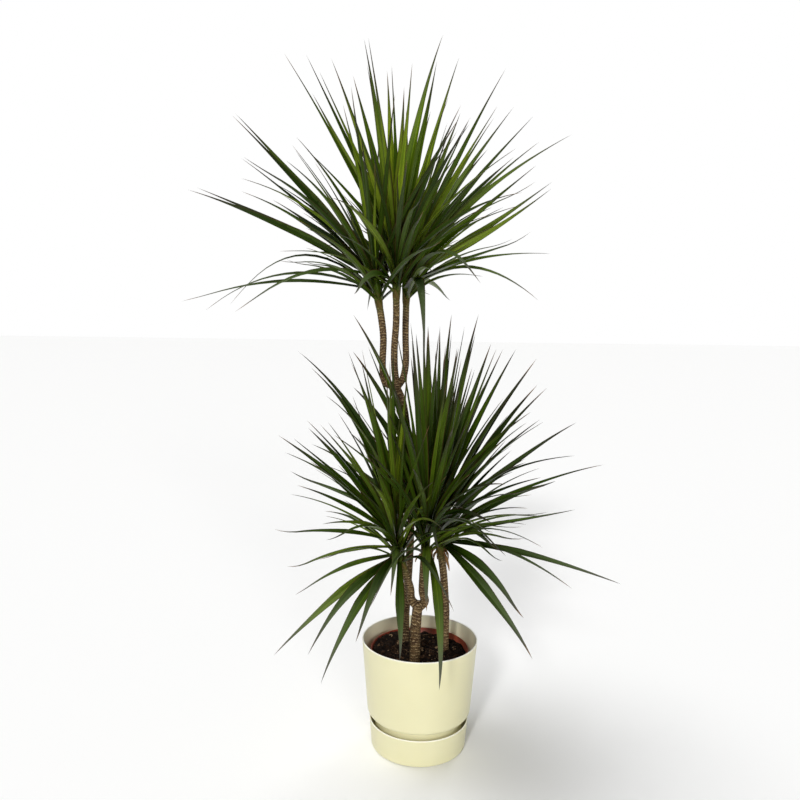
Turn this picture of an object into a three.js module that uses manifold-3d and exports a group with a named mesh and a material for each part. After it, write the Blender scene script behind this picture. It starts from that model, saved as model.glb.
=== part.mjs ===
// Potted dragon tree (Dracaena marginata): three canes in a nursery pot, inside a cream planter on its saucer.
// Millimetres, +Z up. The origin is the centre of the saucer's flat underside, and the front faces -Y.
import * as THREE from 'three';
import { mergeVertices } from 'three/addons/utils/BufferGeometryUtils.js';
import Module from 'manifold-3d';

const wasm = await Module();
wasm.setup();

// ---- driving dimensions -------------------------------------------------------------------------------------

const SEAT = 0.3; // clearance between pieces that stand in or on each other

const SAUCER = {
  rimRadius: 105.6,
  height: 59.9,
  footRadius: 96, // where the rounding between wall and underside is centred
  flatRadius: 94,
  corner: 5, // radius of that rounding
  wall: 2.2,
  floor: 2.8,
};

const PLANTER = {
  rimRadius: 122.5,
  rimHeight: 233,
  waistRadius: 110.2, // outside, just above the rounded lower edge
  waistHeight: 83,
  shoulder: 12, // radius of the rounded lower edge
  footRadius: 92.5,
  wall: 2.8,
  flare: 1, // how much the foot widens from its standing edge up to the body
  recess: 5, // height of the floor's underside above the foot's standing edge
  recessSlope: 2,
};

const NURSERY = {
  rimRadius: 103.5,
  height: 199.5,
  baseRadius: 79,
  wall: 1.8,
  bandHeight: 13, // the wider band under the rim
  bandStep: 1.6,
  bandTaper: 0.4,
  edge: 0.8, // rounding of the rim
  corner: 1.5,
};

const DRAINS = { count: 6, radius: 4.5, ring: 52, sides: 8 };

const SOIL = {
  level: 200,
  heap: 9, // how much higher it lies against the pot's left and back
  heapFrom: 10,
  heapRun: 110,
  grain: 2.2, // coarse unevenness all over
  rings: 7,
  spokes: 26,
};

const ROUND = 36; // facets round each pot

const CANE = {
  sides: 8,
  scarStep: 26, // distance between two leaf-scar ridges
  scarRelief: 0.05, // ridge height as a share of the radius
  scarDip: 0.03, // depth of the waist between two ridges
  buried: 62, // length that stands in the soil
  collar: 12, // height above the soil up to which it stands plumb
  holeSlack: 0.4, // the hole in the soil is wider by this
};

const KNOB = { round: 8, rings: 6, stretch: [1, 0.9, 1.15] }; // the swollen fork of a cane

// The slim cone of clasped leaf bases; blades of other heads keep off its lower part.
const SHEATH = { length: 104, radius: [7.6, 9.4, 7.6, 4.2], sides: 6, guardLength: 70, guardRadius: 9.6 };

const BLADE = {
  fewestSteps: 4, // straight stretches along a straight blade; an arched one has up to two more
  bowPerStep: 0.12,
  width: 18.5,
  rootShare: 0.25, // width where it is sunk in the sheath, as a share of the full width
  fullFrom: 0.22, // shares of the length between which a blade is at its widest
  fullTo: 0.45,
  taper: 1.6, // how long it stays broad beyond that before it runs out to its point
  keel: 1.9, // depth of the keel under a blade's flat top
  keelFade: 0.55, // share of that depth lost towards the tip
  sink: 4, // how far from the sheath's middle line a blade starts
  lowestRoot: 22, // height of a level blade's root above the foot of the head
  rootRise: 65, // how much higher up the sheath an upright blade springs
  rootPower: 0.9,
  clearance: 0.7, // to canes and to other heads' blades
  ownClearance: 0.2, // to the outer parts of the same head's blades
};

const BLADES_PER_HEAD = 41;

// How the hand-set blades vary, and how far one is shifted along the line of sight when it has to clear others.
const FAN = { width: [0.94, 1.06], turn: [0.55, 1.05], shift: 18 };

// The spiral of further blades that fills a head. Angles are in degrees unless they say otherwise.
const FILL = {
  length: [365, 425],
  width: [0.86, 1.02],
  turn: [-0.7, 0.7], // radians
  goldenAngle: 2.39996, // radians between one blade and the next
  bunching: 0.35, // how far the spiral is drawn towards the front and the back
  steepest: 9, // lean of the innermost blade
  frontLean: 84, // lean of the outermost ones
  backLean: 102,
  leanPower: 0.8,
  sideSteeper: 0.34, // sideways blades lean this share less
  sideShorter: 0.2, // and are this share shorter
  jitter: 8,
  shift: 0.13, // radians a blade is turned at a time to clear others
  bow: [0.03, 0.25],
  springs: 30, // how far up the sheath they reach from
};

const ATTEMPTS = 17; // places tried for a blade before it is left out

const EYE = [-49, -1493, 885]; // where the plant is looked at from; the fans keep their outline from here

// Each cane: its route from the soil up, as points [x, y, z], its radius at both ends, and its fork's knob.
const CANES = {
  tall: {
    route: [[-31, 46, 256], [-27, 42, 330], [-22, 36, 460], [-27, 24, 620], [-42, 12, 735], [-55, 9, 768]],
    radii: [9, 6.4],
    knob: { at: [-55, 8, 772], radius: 10.5 },
  },
  forked: {
    route: [[-11, -45, 267], [-7, -45, 318]],
    radii: [11, 10.4],
    knob: { at: [-6, -45, 318], radius: 11.6 },
  },
  right: {
    route: [[55, 12, 286], [51, 12, 348], [47, 12, 384], [42, 12, 416]],
    radii: [8.4, 7.6],
  },
};

// Branches that grow from a fork: route from inside the fork to the foot of the leaf head.
const BRANCHES = {
  topLeft: {
    route: [[-57, 8, 768], [-79, 1, 776], [-85, -2, 800], [-85, -4, 873], [-89, -5, 909], [-94, -6, 936]],
    radii: [6.4, 6.6],
  },
  topMiddle: {
    route: [[-56, 8, 770], [-61, 2, 806], [-62, -5, 842], [-59, -11, 898], [-59, -15, 953]],
    radii: [6.6, 6.4],
  },
  topRight: {
    route: [[-54, 9, 770], [-44, 20, 784], [-38, 28, 812], [-39, 34, 870], [-39, 35, 944]],
    radii: [6.4, 6.4],
  },
  lowLeft: {
    route: [[-7, -45, 318], [-20, -46, 333], [-23, -48, 358], [-31, -50, 384], [-38, -50, 406]],
    radii: [8, 7],
  },
  lowMiddle: {
    route: [[-6, -45, 316], [7, -45, 328], [3, -48, 352], [3, -54, 386], [5, -60, 430]],
    radii: [8.4, 7],
  },
};

// Leaf heads. Each blade of `fan` is [right, up, back, bow, broad]: how far its tip lies from the foot of the
// head, how much it arches, as a share of its length, and how broad it is against a common blade (1 if not
// given). The fans were set by eye from the front view.
const HEADS = {
  top_left: {
    foot: [-94, -6, 936], axis: [-0.17, -0.02, 1], seed: 11,
    fan: [
      [-295, 380, 20, 0.03], [-290, 362, -30, 0.03, 1.15], [-380, 220, -25, 0.07, 1.25],
      [-385, 240, 60, 0.04, 1.2], [-320, 330, 185, 0.05, 0.5], [-330, 265, 230, 0.08, 0.5],
      [-430, 0, 90, 0.14, 0.5], [-370, -15, 60, 0.3, 0.5],
      [-340, -5, 150, 0.5, 0.4], [-205, 210, 240, 0.06], [-250, 240, 190, 0.05], [-165, 125, 220, 0.15],
      [-155, 305, -100, 0.14], [-150, 270, -140, 0.04],
    ],
  },
  top_middle: {
    foot: [-59, -15, 953], axis: [0, -0.04, 1], seed: 23,
    fan: [
      [-230, 478, 20, 0.03, 0.8], [-180, 460, -20, 0.02], [-185, 430, 110, 0.03], [-155, 430, -20, 0.03],
      [-135, 465, 10, 0.03], [-120, 420, -70, 0.02], [-95, 450, 60, 0.02], [-70, 500, 0, 0.02, 1.2],
      [-60, 490, -30, 0.02, 1.2], [-25, 455, 45, 0.02], [-15, 450, 0, 0.02], [10, 380, -90, 0.03],
      [85, 510, 0, 0.07, 1.3], [75, 470, 30, 0.0, 1.1], [25, 445, -30, 0.02], [95, 375, -60, 0.03],
      [-80, -15, -90, 0.6], [-300, -45, -120, 0.33, 0.5],
    ],
  },
  top_right: {
    foot: [-39, 35, 944], axis: [0.02, 0, 1], seed: 37,
    fan: [
      [100, 490, -10, 0.05], [115, 420, 120, 0.03], [195, 470, -10, 0.03], [175, 385, -50, 0.03],
      [215, 400, 10, 0.04], [255, 380, 0, 0.04, 0.7], [280, 345, 60, 0.06, 0.7], [335, 345, 0, 0.11, 0.7],
      [235, 325, 110, 0.06], [250, 265, -80, 0.0, 1.2], [300, 252, 10, -0.04, 1.2], [285, 225, -60, -0.07, 1.2],
      [215, 105, -240, 0.02], [350, 130, 250, 0.1, 0.5], [150, 330, -90, 0.03], [185, 360, 190, 0.06],
      [125, 15, -280, 0.45], [230, -5, -250, 0.35, 0.6], [34, -119, -200, 0.7],
    ],
  },
  low_left: {
    foot: [-38, -50, 406], axis: [-0.3, 0, 1], seed: 41,
    fan: [
      [-215, 435, 0, 0.22], [-185, 405, -40, 0.2], [-110, 415, 0, 0.1], [-150, 355, -90, 0.25],
      [-125, 325, -110, 0.08], [-185, 310, -100, 0.06], [-210, 265, 120, 0.08], [-165, 240, 160, 0.1],
      [-250, 270, -30, 0.06], [-210, 275, -100, 0.04], [-170, 245, -170, 0.06], [-200, 190, -120, 0.08],
      [-60, 255, -180, 0.1], [-150, 125, -150, 0.16], [-245, 90, -110, 0.14, 0.6], [-245, -140, -120, 0.1],
      [-175, -120, -160, 0.2], [-155, -195, -120, 0.16], [-85, -90, -190, 0.3], [-245, -130, 160, 0.1],
      [-215, 30, -150, 0.16, 0.5], [-23, 0, -200, 0.5], [-5, -185, -50, 0.3],
    ],
  },
  low_middle: {
    foot: [5, -60, 430], axis: [0.06, -0.1, 1], seed: 54,
    fan: [
      [-150, 485, 30, 0.12], [-125, 450, 0, 0.12], [-150, 412, 20, 0.15], [-155, 332, 120, 0.2],
      [-155, 250, 180, 0.1], [-300, 125, 180, 0.1, 0.6], [-35, 470, 0, 0.02], [-25, 450, -40, 0.02],
      [0, 465, 20, 0.02], [20, 450, -20, 0.02], [115, 110, -150, 0.3], [0, -60, -150, 0.5],
      [27, -218, -130, 0.45],
    ],
  },
  low_right: {
    foot: [42, 12, 416.3], axis: [-0.16, 0, 1], seed: 67,
    fan: [
      [180, -180, -120, 0.1, 1.2],
      [14, 504, 10, 0.03], [39, 479, -20, 0.03], [69, 504, 0, 0.03], [99, 444, 20, 0.04],
      [119, 434, -20, 0.04], [149, 434, 0, 0.05], [194, 414, 10, 0.05], [214, 352, 100, 0.06],
      [204, 359, -60, 0.06], [179, 301, -120, 0.08], [294, 274, 60, 0.08, 0.8], [324, 204, -60, 0.1, 0.6],
      [274, 119, 150, 0.12], [179, 194, -150, 0.1], [269, 109, -60, 0.02, 0.5], [369, -46, -60, 0.09, 0.7],
      [244, -21, -160, 0.2, 0.5], [94, 59, -200, 0.3], [149, -81, -180, 0.22],
    ],
  },
};

const COLOURS = {
  planter: 0xe6e1bd,
  nursery: 0x8a2f18,
  soil: 0x1c1512,
  cane: 0x8a6c49,
  leaf: 0x36520f,
};

// ---- small helpers ------------------------------------------------------------------------------------------

const vec = (p) => new THREE.Vector3(p[0], p[1], p[2]);
const smooth = (t) => t * t * (3 - 2 * t);
const clamp01 = (t) => Math.min(1, Math.max(0, t));
const between = ([low, high], t) => low + (high - low) * t;

// Seeded random numbers between 0 and 1: a 32-bit multiply-and-mix counter.
function randomFrom(seed) {
  let state = seed >>> 0;
  return () => {
    state = (state + 0x6d2b79f5) >>> 0;
    let mixed = Math.imul(state ^ (state >>> 15), 1 | state);
    mixed = (mixed + Math.imul(mixed ^ (mixed >>> 7), 61 | mixed)) ^ mixed;
    return ((mixed ^ (mixed >>> 14)) >>> 0) / 4294967296;
  };
}

function geometryFrom(points, faces) {
  const geometry = new THREE.BufferGeometry();
  geometry.setAttribute('position', new THREE.Float32BufferAttribute(points, 3));
  geometry.setIndex(faces);
  return geometry;
}

// A closed geometry as a solid that can be joined and cut.
function solidFrom(geometry) {
  const bare = geometry.clone();
  bare.deleteAttribute('normal');
  bare.deleteAttribute('uv');
  const merged = mergeVertices(bare, 1e-4);
  return new wasm.Manifold(new wasm.Mesh({
    numProp: 3,
    vertProperties: Float32Array.from(merged.getAttribute('position').array),
    triVerts: Uint32Array.from(merged.getIndex().array),
  }));
}

function geometryOf(solid) {
  const mesh = solid.getMesh();
  const points = [];
  for (let i = 0; i < mesh.vertProperties.length; i += mesh.numProp) {
    points.push(mesh.vertProperties[i], mesh.vertProperties[i + 1], mesh.vertProperties[i + 2]);
  }
  return geometryFrom(points, Array.from(mesh.triVerts));
}

function joinAll(solids) {
  let level = solids;
  while (level.length > 1) {
    const next = [];
    for (let i = 0; i < level.length; i += 2) {
      next.push(i + 1 < level.length ? level[i].add(level[i + 1]) : level[i]);
    }
    level = next;
  }
  return level[0];
}

// A solid without the small pockets that crossing blades close off inside it.
function outerShell(solid) {
  const shells = solid.decompose();
  return shells.reduce((largest, shell) => (shell.volume() > largest.volume() ? shell : largest));
}

function material(colour, roughness) {
  return new THREE.MeshStandardMaterial({ color: colour, roughness, metalness: 0 });
}

const plant = new THREE.Group();

function addPiece(name, geometry, finish) {
  const mesh = new THREE.Mesh(geometry, finish);
  mesh.name = name;
  plant.add(mesh);
}

// ---- pots ---------------------------------------------------------------------------------------------------

// Points of an arc in a lathe profile, from angle a to angle b in degrees.
function arc(cx, cy, radius, a, b, count) {
  const points = [];
  for (let i = 0; i <= count; i += 1) {
    const angle = THREE.MathUtils.degToRad(a + ((b - a) * i) / count);
    points.push(new THREE.Vector2(cx + radius * Math.cos(angle), cy + radius * Math.sin(angle)));
  }
  return points;
}

// Turns a closed outline, given as [radius, height] points running outwards along the underside and up the
// outside, into a body of revolution about +Z.
function turned(outline) {
  const lathe = new THREE.LatheGeometry(outline, ROUND);
  return lathe.rotateX(Math.PI / 2);
}

function drill(solid, floorLevel, floorThickness, withCentre) {
  let drilled = solid;
  for (let i = 0; i < DRAINS.count + (withCentre ? 1 : 0); i += 1) {
    const angle = (i * 2 * Math.PI) / DRAINS.count;
    const ring = i < DRAINS.count ? DRAINS.ring : 0;
    const bit = new THREE.CylinderGeometry(DRAINS.radius, DRAINS.radius, floorThickness + 4, DRAINS.sides);
    bit.rotateX(Math.PI / 2);
    bit.translate(ring * Math.cos(angle), ring * Math.sin(angle), floorLevel + floorThickness / 2);
    drilled = drilled.subtract(solidFrom(bit));
  }
  return drilled;
}

const planterFoot = SAUCER.floor + SEAT;
const planterFloor = planterFoot + PLANTER.recess + PLANTER.wall;
const nurseryFoot = planterFloor + SEAT;
const nurseryFloor = nurseryFoot + NURSERY.wall;
const nurseryRim = nurseryFoot + NURSERY.height;

// Outer radius of the nursery pot's tapering side.
function nurseryRadius(height) {
  const share = (height - nurseryFoot) / NURSERY.height;
  return NURSERY.baseRadius + (NURSERY.rimRadius - NURSERY.bandStep - NURSERY.baseRadius) * share;
}

function makeSaucer() {
  const { rimRadius, height, footRadius, flatRadius, wall, floor, corner } = SAUCER;
  const lip = wall / 2;
  const insideCorner = corner - wall + 1;
  const outline = [
    new THREE.Vector2(0, 0),
    new THREE.Vector2(flatRadius, 0),
    ...arc(footRadius, corner + 0.6, corner, -60, -5, 2),
    ...arc(rimRadius - lip, height - lip, lip, 0, 180, 3),
    ...arc(footRadius, floor + insideCorner, insideCorner, 0, -90, 2),
    new THREE.Vector2(0, floor),
  ];
  return turned(outline);
}

function makePlanter() {
  const { rimRadius, rimHeight, waistRadius, waistHeight, shoulder, footRadius, wall, flare } = PLANTER;
  const lip = wall / 2;
  const neck = waistHeight - shoulder - 2; // where the foot meets the body's underside
  const underFloor = planterFoot + PLANTER.recess;
  const outline = [
    new THREE.Vector2(0, underFloor),
    new THREE.Vector2(footRadius - wall - PLANTER.recessSlope, underFloor),
    new THREE.Vector2(footRadius - wall, planterFoot),
    new THREE.Vector2(footRadius - 0.8, planterFoot),
    new THREE.Vector2(footRadius, planterFoot + 1),
    new THREE.Vector2(footRadius + flare, neck),
    ...arc(waistRadius - shoulder, waistHeight, shoulder, -78, 0, 4),
    ...arc(rimRadius - lip, rimHeight - lip, lip, 10, 170, 2),
    ...arc(waistRadius - shoulder, waistHeight + 0.5, shoulder - wall, 0, -75, 2),
    new THREE.Vector2(footRadius + flare - wall, neck + wall),
    new THREE.Vector2(footRadius - wall, planterFloor),
    new THREE.Vector2(0, planterFloor),
  ];
  return geometryOf(drill(solidFrom(turned(outline)), underFloor, wall, false));
}

function makeNursery() {
  const { rimRadius, wall, bandHeight, bandStep, bandTaper, baseRadius, edge, corner } = NURSERY;
  const bandFoot = nurseryRim - bandHeight;
  const outline = [
    new THREE.Vector2(0, nurseryFoot),
    new THREE.Vector2(baseRadius - corner, nurseryFoot),
    new THREE.Vector2(baseRadius, nurseryFoot + corner),
    new THREE.Vector2(nurseryRadius(bandFoot), bandFoot),
    new THREE.Vector2(rimRadius - bandTaper, bandFoot + bandStep),
    new THREE.Vector2(rimRadius, nurseryRim - edge),
    new THREE.Vector2(rimRadius - wall / 2, nurseryRim),
    new THREE.Vector2(rimRadius - wall, nurseryRim - edge),
    new THREE.Vector2(rimRadius - wall - bandTaper, bandFoot + bandStep),
    new THREE.Vector2(nurseryRadius(bandFoot) - wall, bandFoot),
    new THREE.Vector2(baseRadius - wall, nurseryFloor),
    new THREE.Vector2(0, nurseryFloor),
  ];
  return geometryOf(drill(solidFrom(turned(outline)), nurseryFoot, wall, true));
}

// Height of the soil: a heap against the pot's left and back, and coarse grains all over.
function soilHeight(x, y) {
  const heap = SOIL.heap * smooth(clamp01((0.5 * y - x - SOIL.heapFrom) / SOIL.heapRun));
  const grain = Math.sin(0.21 * x + 1.3) * Math.cos(0.17 * y - 0.4) + 0.6 * Math.sin(0.33 * x + 0.29 * y);
  return SOIL.level + heap + SOIL.grain * grain;
}

function makeSoil(holes) {
  const points = [];
  const faces = [];
  const { rings, spokes } = SOIL;
  const snug = Math.cos(Math.PI / ROUND); // keeps the soil inside the flats of the facetted pot
  const topRadius = (nurseryRadius(nurseryRim - NURSERY.bandHeight) - NURSERY.wall) * snug - SEAT;
  const footRadius = (NURSERY.baseRadius - NURSERY.wall) * snug - SEAT;
  const footHeight = nurseryFloor + SEAT;
  points.push(0, 0, soilHeight(0, 0));
  const ringAt = (radius, heightAt) => {
    for (let j = 0; j < spokes; j += 1) {
      const angle = (2 * Math.PI * j) / spokes;
      const x = radius * Math.cos(angle);
      const y = radius * Math.sin(angle);
      points.push(x, y, heightAt(x, y));
    }
  };
  for (let i = 1; i <= rings; i += 1) {
    ringAt((topRadius * i) / rings, soilHeight);
  }
  ringAt(footRadius, () => footHeight);
  points.push(0, 0, footHeight);
  const lastRing = rings + 1;
  const bottom = 1 + lastRing * spokes;
  for (let j = 0; j < spokes; j += 1) {
    const k = (j + 1) % spokes;
    faces.push(0, 1 + j, 1 + k);
    for (let i = 0; i < lastRing - 1; i += 1) {
      const a = 1 + i * spokes;
      const b = a + spokes;
      faces.push(a + j, b + j, b + k, a + j, b + k, a + k);
    }
    const last = 1 + (lastRing - 1) * spokes;
    faces.push(last + j, bottom, last + k);
  }
  let soil = solidFrom(geometryFrom(points, faces));
  for (const hole of holes) {
    soil = soil.subtract(hole);
  }
  return geometryOf(soil);
}

// ---- canes --------------------------------------------------------------------------------------------------

// A tube with closed ends along a route; each station is { point, radius } and rings stay level with +X.
function tube(stations, sides) {
  const points = [];
  const faces = [];
  stations.forEach((station, i) => {
    const before = stations[Math.max(0, i - 1)].point;
    const after = stations[Math.min(stations.length - 1, i + 1)].point;
    const along = after.clone().sub(before).normalize();
    const across = new THREE.Vector3(1, 0, 0).addScaledVector(along, -along.x).normalize();
    const back = along.clone().cross(across);
    for (let j = 0; j < sides; j += 1) {
      const angle = (2 * Math.PI * j) / sides;
      const p = station.point.clone()
        .addScaledVector(across, station.radius * Math.cos(angle))
        .addScaledVector(back, station.radius * Math.sin(angle));
      points.push(p.x, p.y, p.z);
    }
  });
  const last = (stations.length - 1) * sides;
  for (let j = 0; j < sides; j += 1) {
    const k = (j + 1) % sides;
    for (let i = 0; i < stations.length - 1; i += 1) {
      const a = i * sides;
      const b = a + sides;
      faces.push(a + j, a + k, b + k, a + j, b + k, b + j);
    }
    if (j > 0 && j < sides - 1) {
      faces.push(0, k, j, last, last + j, last + k);
    }
  }
  return geometryFrom(points, faces);
}

// Stations along a smooth route, with a low ridge at each leaf scar and a plain last stretch.
function scarred(route, radii) {
  const curve = new THREE.CatmullRomCurve3(route.map(vec), false, 'centripetal');
  const length = curve.getLength();
  const ridges = Math.max(2, Math.round(length / CANE.scarStep));
  const stations = [];
  for (let i = 0; i <= ridges * 2; i += 1) {
    const t = i / (ridges * 2);
    const radius = radii[0] + (radii[1] - radii[0]) * t;
    const relief = i % 2 ? CANE.scarRelief : -CANE.scarDip;
    const atAnEnd = i === 0 || i === ridges * 2;
    stations.push({ point: curve.getPointAt(t), radius: radius * (atAnEnd ? 1 : 1 + relief) });
  }
  return stations;
}

const capsules = []; // what blades keep clear of: { from, to, radius }

function addCapsules(stations) {
  for (let i = 1; i < stations.length; i += 1) {
    capsules.push({
      from: stations[i - 1].point,
      to: stations[i].point,
      radius: Math.max(stations[i - 1].radius, stations[i].radius),
    });
  }
}

function makeCane(cane, branches) {
  const foot = vec(cane.route[0]);
  const [radius] = cane.radii;
  const soilTop = soilHeight(foot.x, foot.y);
  const standing = new THREE.Vector3(foot.x, foot.y, soilTop - CANE.buried);
  const collar = new THREE.Vector3(foot.x, foot.y, soilTop + CANE.collar);
  const trunk = [{ point: standing, radius }, { point: collar, radius }, ...scarred(cane.route, cane.radii)];
  const solids = [solidFrom(tube(trunk, CANE.sides))];
  addCapsules(trunk);
  if (cane.knob) {
    const knob = new THREE.SphereGeometry(cane.knob.radius, KNOB.round, KNOB.rings).scale(...KNOB.stretch);
    solids.push(solidFrom(knob.translate(...cane.knob.at)));
    capsules.push({ from: vec(cane.knob.at), to: vec(cane.knob.at), radius: cane.knob.radius });
  }
  for (const branch of branches) {
    const stations = scarred(branch.route, branch.radii);
    addCapsules(stations);
    solids.push(solidFrom(tube(stations, CANE.sides)));
  }
  const holeRadius = radius + CANE.holeSlack;
  const holeLength = CANE.buried + 40; // runs out through the top of the soil
  const hole = new THREE.CylinderGeometry(holeRadius, holeRadius, holeLength, CANE.sides);
  hole.rotateX(Math.PI / 2);
  hole.translate(foot.x, foot.y, standing.z - SEAT + holeLength / 2);
  return { geometry: geometryOf(joinAll(solids)), hole: solidFrom(hole) };
}

// ---- leaf heads ---------------------------------------------------------------------------------------------

function bladeWidth(t, full) {
  const opening = BLADE.rootShare + (1 - BLADE.rootShare) * smooth(clamp01(t / BLADE.fullFrom));
  const taper = 1 - clamp01((t - BLADE.fullTo) / (1 - BLADE.fullTo)) ** BLADE.taper;
  return full * opening * taper;
}

// The curve of a blade: a quadratic arch from root to tip, bowed upwards in its own upright plane. Each station
// holds its point, the way along, the way across, the way its face looks, and its width.
function bladeStations(blade) {
  const chord = blade.tip.clone().sub(blade.root);
  const length = chord.length();
  const heading = Math.atan2(chord.y, chord.x);
  const across = new THREE.Vector3(-Math.sin(heading), Math.cos(heading), 0);
  const lift = chord.clone().normalize().cross(across);
  const middle = blade.root.clone().add(blade.tip).multiplyScalar(0.5)
    .addScaledVector(lift, blade.bow * length);
  const steps = BLADE.fewestSteps + Math.min(2, Math.floor(blade.bow / BLADE.bowPerStep));
  const stations = [];
  for (let i = 0; i <= steps; i += 1) {
    const t = i / steps;
    const point = blade.root.clone().multiplyScalar((1 - t) * (1 - t))
      .addScaledVector(middle, 2 * t * (1 - t))
      .addScaledVector(blade.tip, t * t);
    const along = middle.clone().sub(blade.root).multiplyScalar(1 - t)
      .addScaledVector(blade.tip.clone().sub(middle), t)
      .normalize();
    const face = along.clone().cross(across);
    const side = across.clone().multiplyScalar(Math.cos(blade.turn))
      .addScaledVector(face, Math.sin(blade.turn));
    stations.push({ point, side, face: along.clone().cross(side), width: bladeWidth(t, blade.width) });
  }
  return stations;
}

// A blade: flat on top with a keel beneath, tapering to a point. Its top and its two undersides are split into
// triangles along like diagonals, from the left edge forward to the right, so that they never cross.
function bladeGeometry(stations) {
  const points = [];
  const faces = [];
  const last = stations.length - 1;
  stations.forEach((station, i) => {
    const { point, side, face, width } = station;
    if (i === last) {
      points.push(point.x, point.y, point.z);
      return;
    }
    const keel = BLADE.keel * (1 - (BLADE.keelFade * i) / last);
    const left = point.clone().addScaledVector(side, -width / 2);
    const right = point.clone().addScaledVector(side, width / 2);
    const under = point.clone().addScaledVector(face, -keel);
    points.push(left.x, left.y, left.z, under.x, under.y, under.z, right.x, right.y, right.z);
  });
  faces.push(0, 2, 1);
  for (let i = 0; i < last - 1; i += 1) {
    const [left, under, right] = [3 * i, 3 * i + 1, 3 * i + 2];
    faces.push(left, under, under + 3, left, under + 3, left + 3);
    faces.push(under, right, right + 3, under, right + 3, under + 3);
    faces.push(right, left, right + 3, left, left + 3, right + 3);
  }
  const foot = 3 * (last - 1);
  const tip = 3 * last;
  faces.push(foot, foot + 1, tip, foot + 1, foot + 2, tip, foot + 2, foot, tip);
  return geometryFrom(points, faces);
}

// Nearest points of two straight stretches, as the vector between them.
function gapBetween(p1, q1, p2, q2) {
  const d1 = q1.clone().sub(p1);
  const d2 = q2.clone().sub(p2);
  const r = p1.clone().sub(p2);
  const a = Math.max(d1.dot(d1), 1e-9);
  const e = Math.max(d2.dot(d2), 1e-9);
  const b = d1.dot(d2);
  const c = d1.dot(r);
  const f = d2.dot(r);
  const spread = a * e - b * b;
  let s = spread > 1e-6 ? clamp01((b * f - c * e) / spread) : 0;
  const t = clamp01((b * s + f) / e);
  s = clamp01((b * t - c) / a);
  return p1.clone().addScaledVector(d1, s).sub(p2.clone().addScaledVector(d2, t));
}

// How far a flat stretch of blade reaches along a direction from its middle line.
function reach(from, to, direction) {
  const across = Math.max(from.width, to.width) / 2;
  const side = Math.max(Math.abs(direction.dot(from.side)), Math.abs(direction.dot(to.side)));
  const face = Math.max(Math.abs(direction.dot(from.face)), Math.abs(direction.dot(to.face)));
  return across * side + BLADE.keel * face;
}

// Whether two blades stay apart, from the given stretch of each onwards.
function bladesApart(one, other, first, clearance) {
  for (let i = first; i < one.length; i += 1) {
    for (let k = first; k < other.length; k += 1) {
      const gap = gapBetween(one[i - 1].point, one[i].point, other[k - 1].point, other[k].point);
      const distance = gap.length();
      const way = gap.divideScalar(distance || 1);
      const needed = reach(one[i - 1], one[i], way) + reach(other[k - 1], other[k], way) + clearance;
      if (distance < needed) {
        return false;
      }
    }
  }
  return true;
}

function clearOfAll(stations, obstacles, strangers, own) {
  for (let i = 1; i < stations.length; i += 1) {
    const from = stations[i - 1];
    const to = stations[i];
    for (const capsule of obstacles) {
      const gap = gapBetween(from.point, to.point, capsule.from, capsule.to);
      const distance = gap.length();
      const way = gap.divideScalar(distance || 1);
      if (distance < capsule.radius + reach(from, to, way) + BLADE.clearance) {
        return false;
      }
    }
  }
  return strangers.every((other) => bladesApart(stations, other, 1, BLADE.clearance))
    && own.every((other) => bladesApart(stations, other, 2, BLADE.ownClearance));
}

// Where a blade leaves the sheath: steep young blades spring from its top, spreading ones from its foot.
function bladeRoot(head, tip) {
  const foot = vec(head.foot);
  const axis = vec(head.axis).normalize();
  const reachOut = tip.clone().sub(foot);
  const lean = reachOut.angleTo(axis) / (Math.PI / 2);
  const rise = BLADE.lowestRoot + BLADE.rootRise * clamp01(1 - lean) ** BLADE.rootPower;
  const outward = reachOut.addScaledVector(axis, -reachOut.dot(axis)).normalize();
  return foot.addScaledVector(axis, rise).addScaledVector(outward, BLADE.sink);
}

// The hand-set fan first, then a spiral of further blades that fills the head from its middle outwards.
function wantedBlades(head) {
  const random = randomFrom(head.seed);
  const foot = vec(head.foot);
  const wanted = head.fan.map(([right, up, back, bow, broad = 1]) => {
    const tip = new THREE.Vector3(right, back, up).add(foot);
    const sight = tip.clone().sub(vec(EYE)).normalize();
    return {
      tip,
      bow,
      width: BLADE.width * broad * between(FAN.width, random()),
      turn: (between(FAN.turn, random()) * right) / Math.hypot(right, back),
      nudge: (step) => sight.clone().multiplyScalar(FAN.shift * step),
    };
  });
  const extra = BLADES_PER_HEAD - wanted.length;
  for (let i = 0; i < extra; i += 1) {
    const share = (i + 0.5) / extra;
    const spiral = i * FILL.goldenAngle + head.seed;
    const fullLength = between(FILL.length, random());
    const jitter = FILL.jitter * (random() - 0.5);
    const turn = between(FILL.turn, random());
    const width = BLADE.width * between(FILL.width, random());
    const tipAt = (step) => {
      const heading = spiral + FILL.bunching * Math.sin(2 * spiral) + FILL.shift * step;
      const sideways = Math.cos(heading) ** 2;
      const outermost = Math.sin(heading) < 0 ? FILL.frontLean : FILL.backLean;
      const fanned = between([FILL.steepest, outermost], share ** FILL.leanPower);
      const lean = THREE.MathUtils.degToRad(fanned * (1 - FILL.sideSteeper * sideways) + jitter);
      const length = fullLength * (1 - FILL.sideShorter * sideways);
      const flat = length * Math.sin(lean);
      const rise = length * Math.cos(lean) + FILL.springs;
      return new THREE.Vector3(flat * Math.cos(heading), flat * Math.sin(heading), rise);
    };
    wanted.push({
      tip: tipAt(0).add(foot),
      bow: between(FILL.bow, share * share),
      width,
      turn,
      nudge: (step) => tipAt(step).sub(tipAt(0)),
    });
  }
  return wanted;
}

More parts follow.
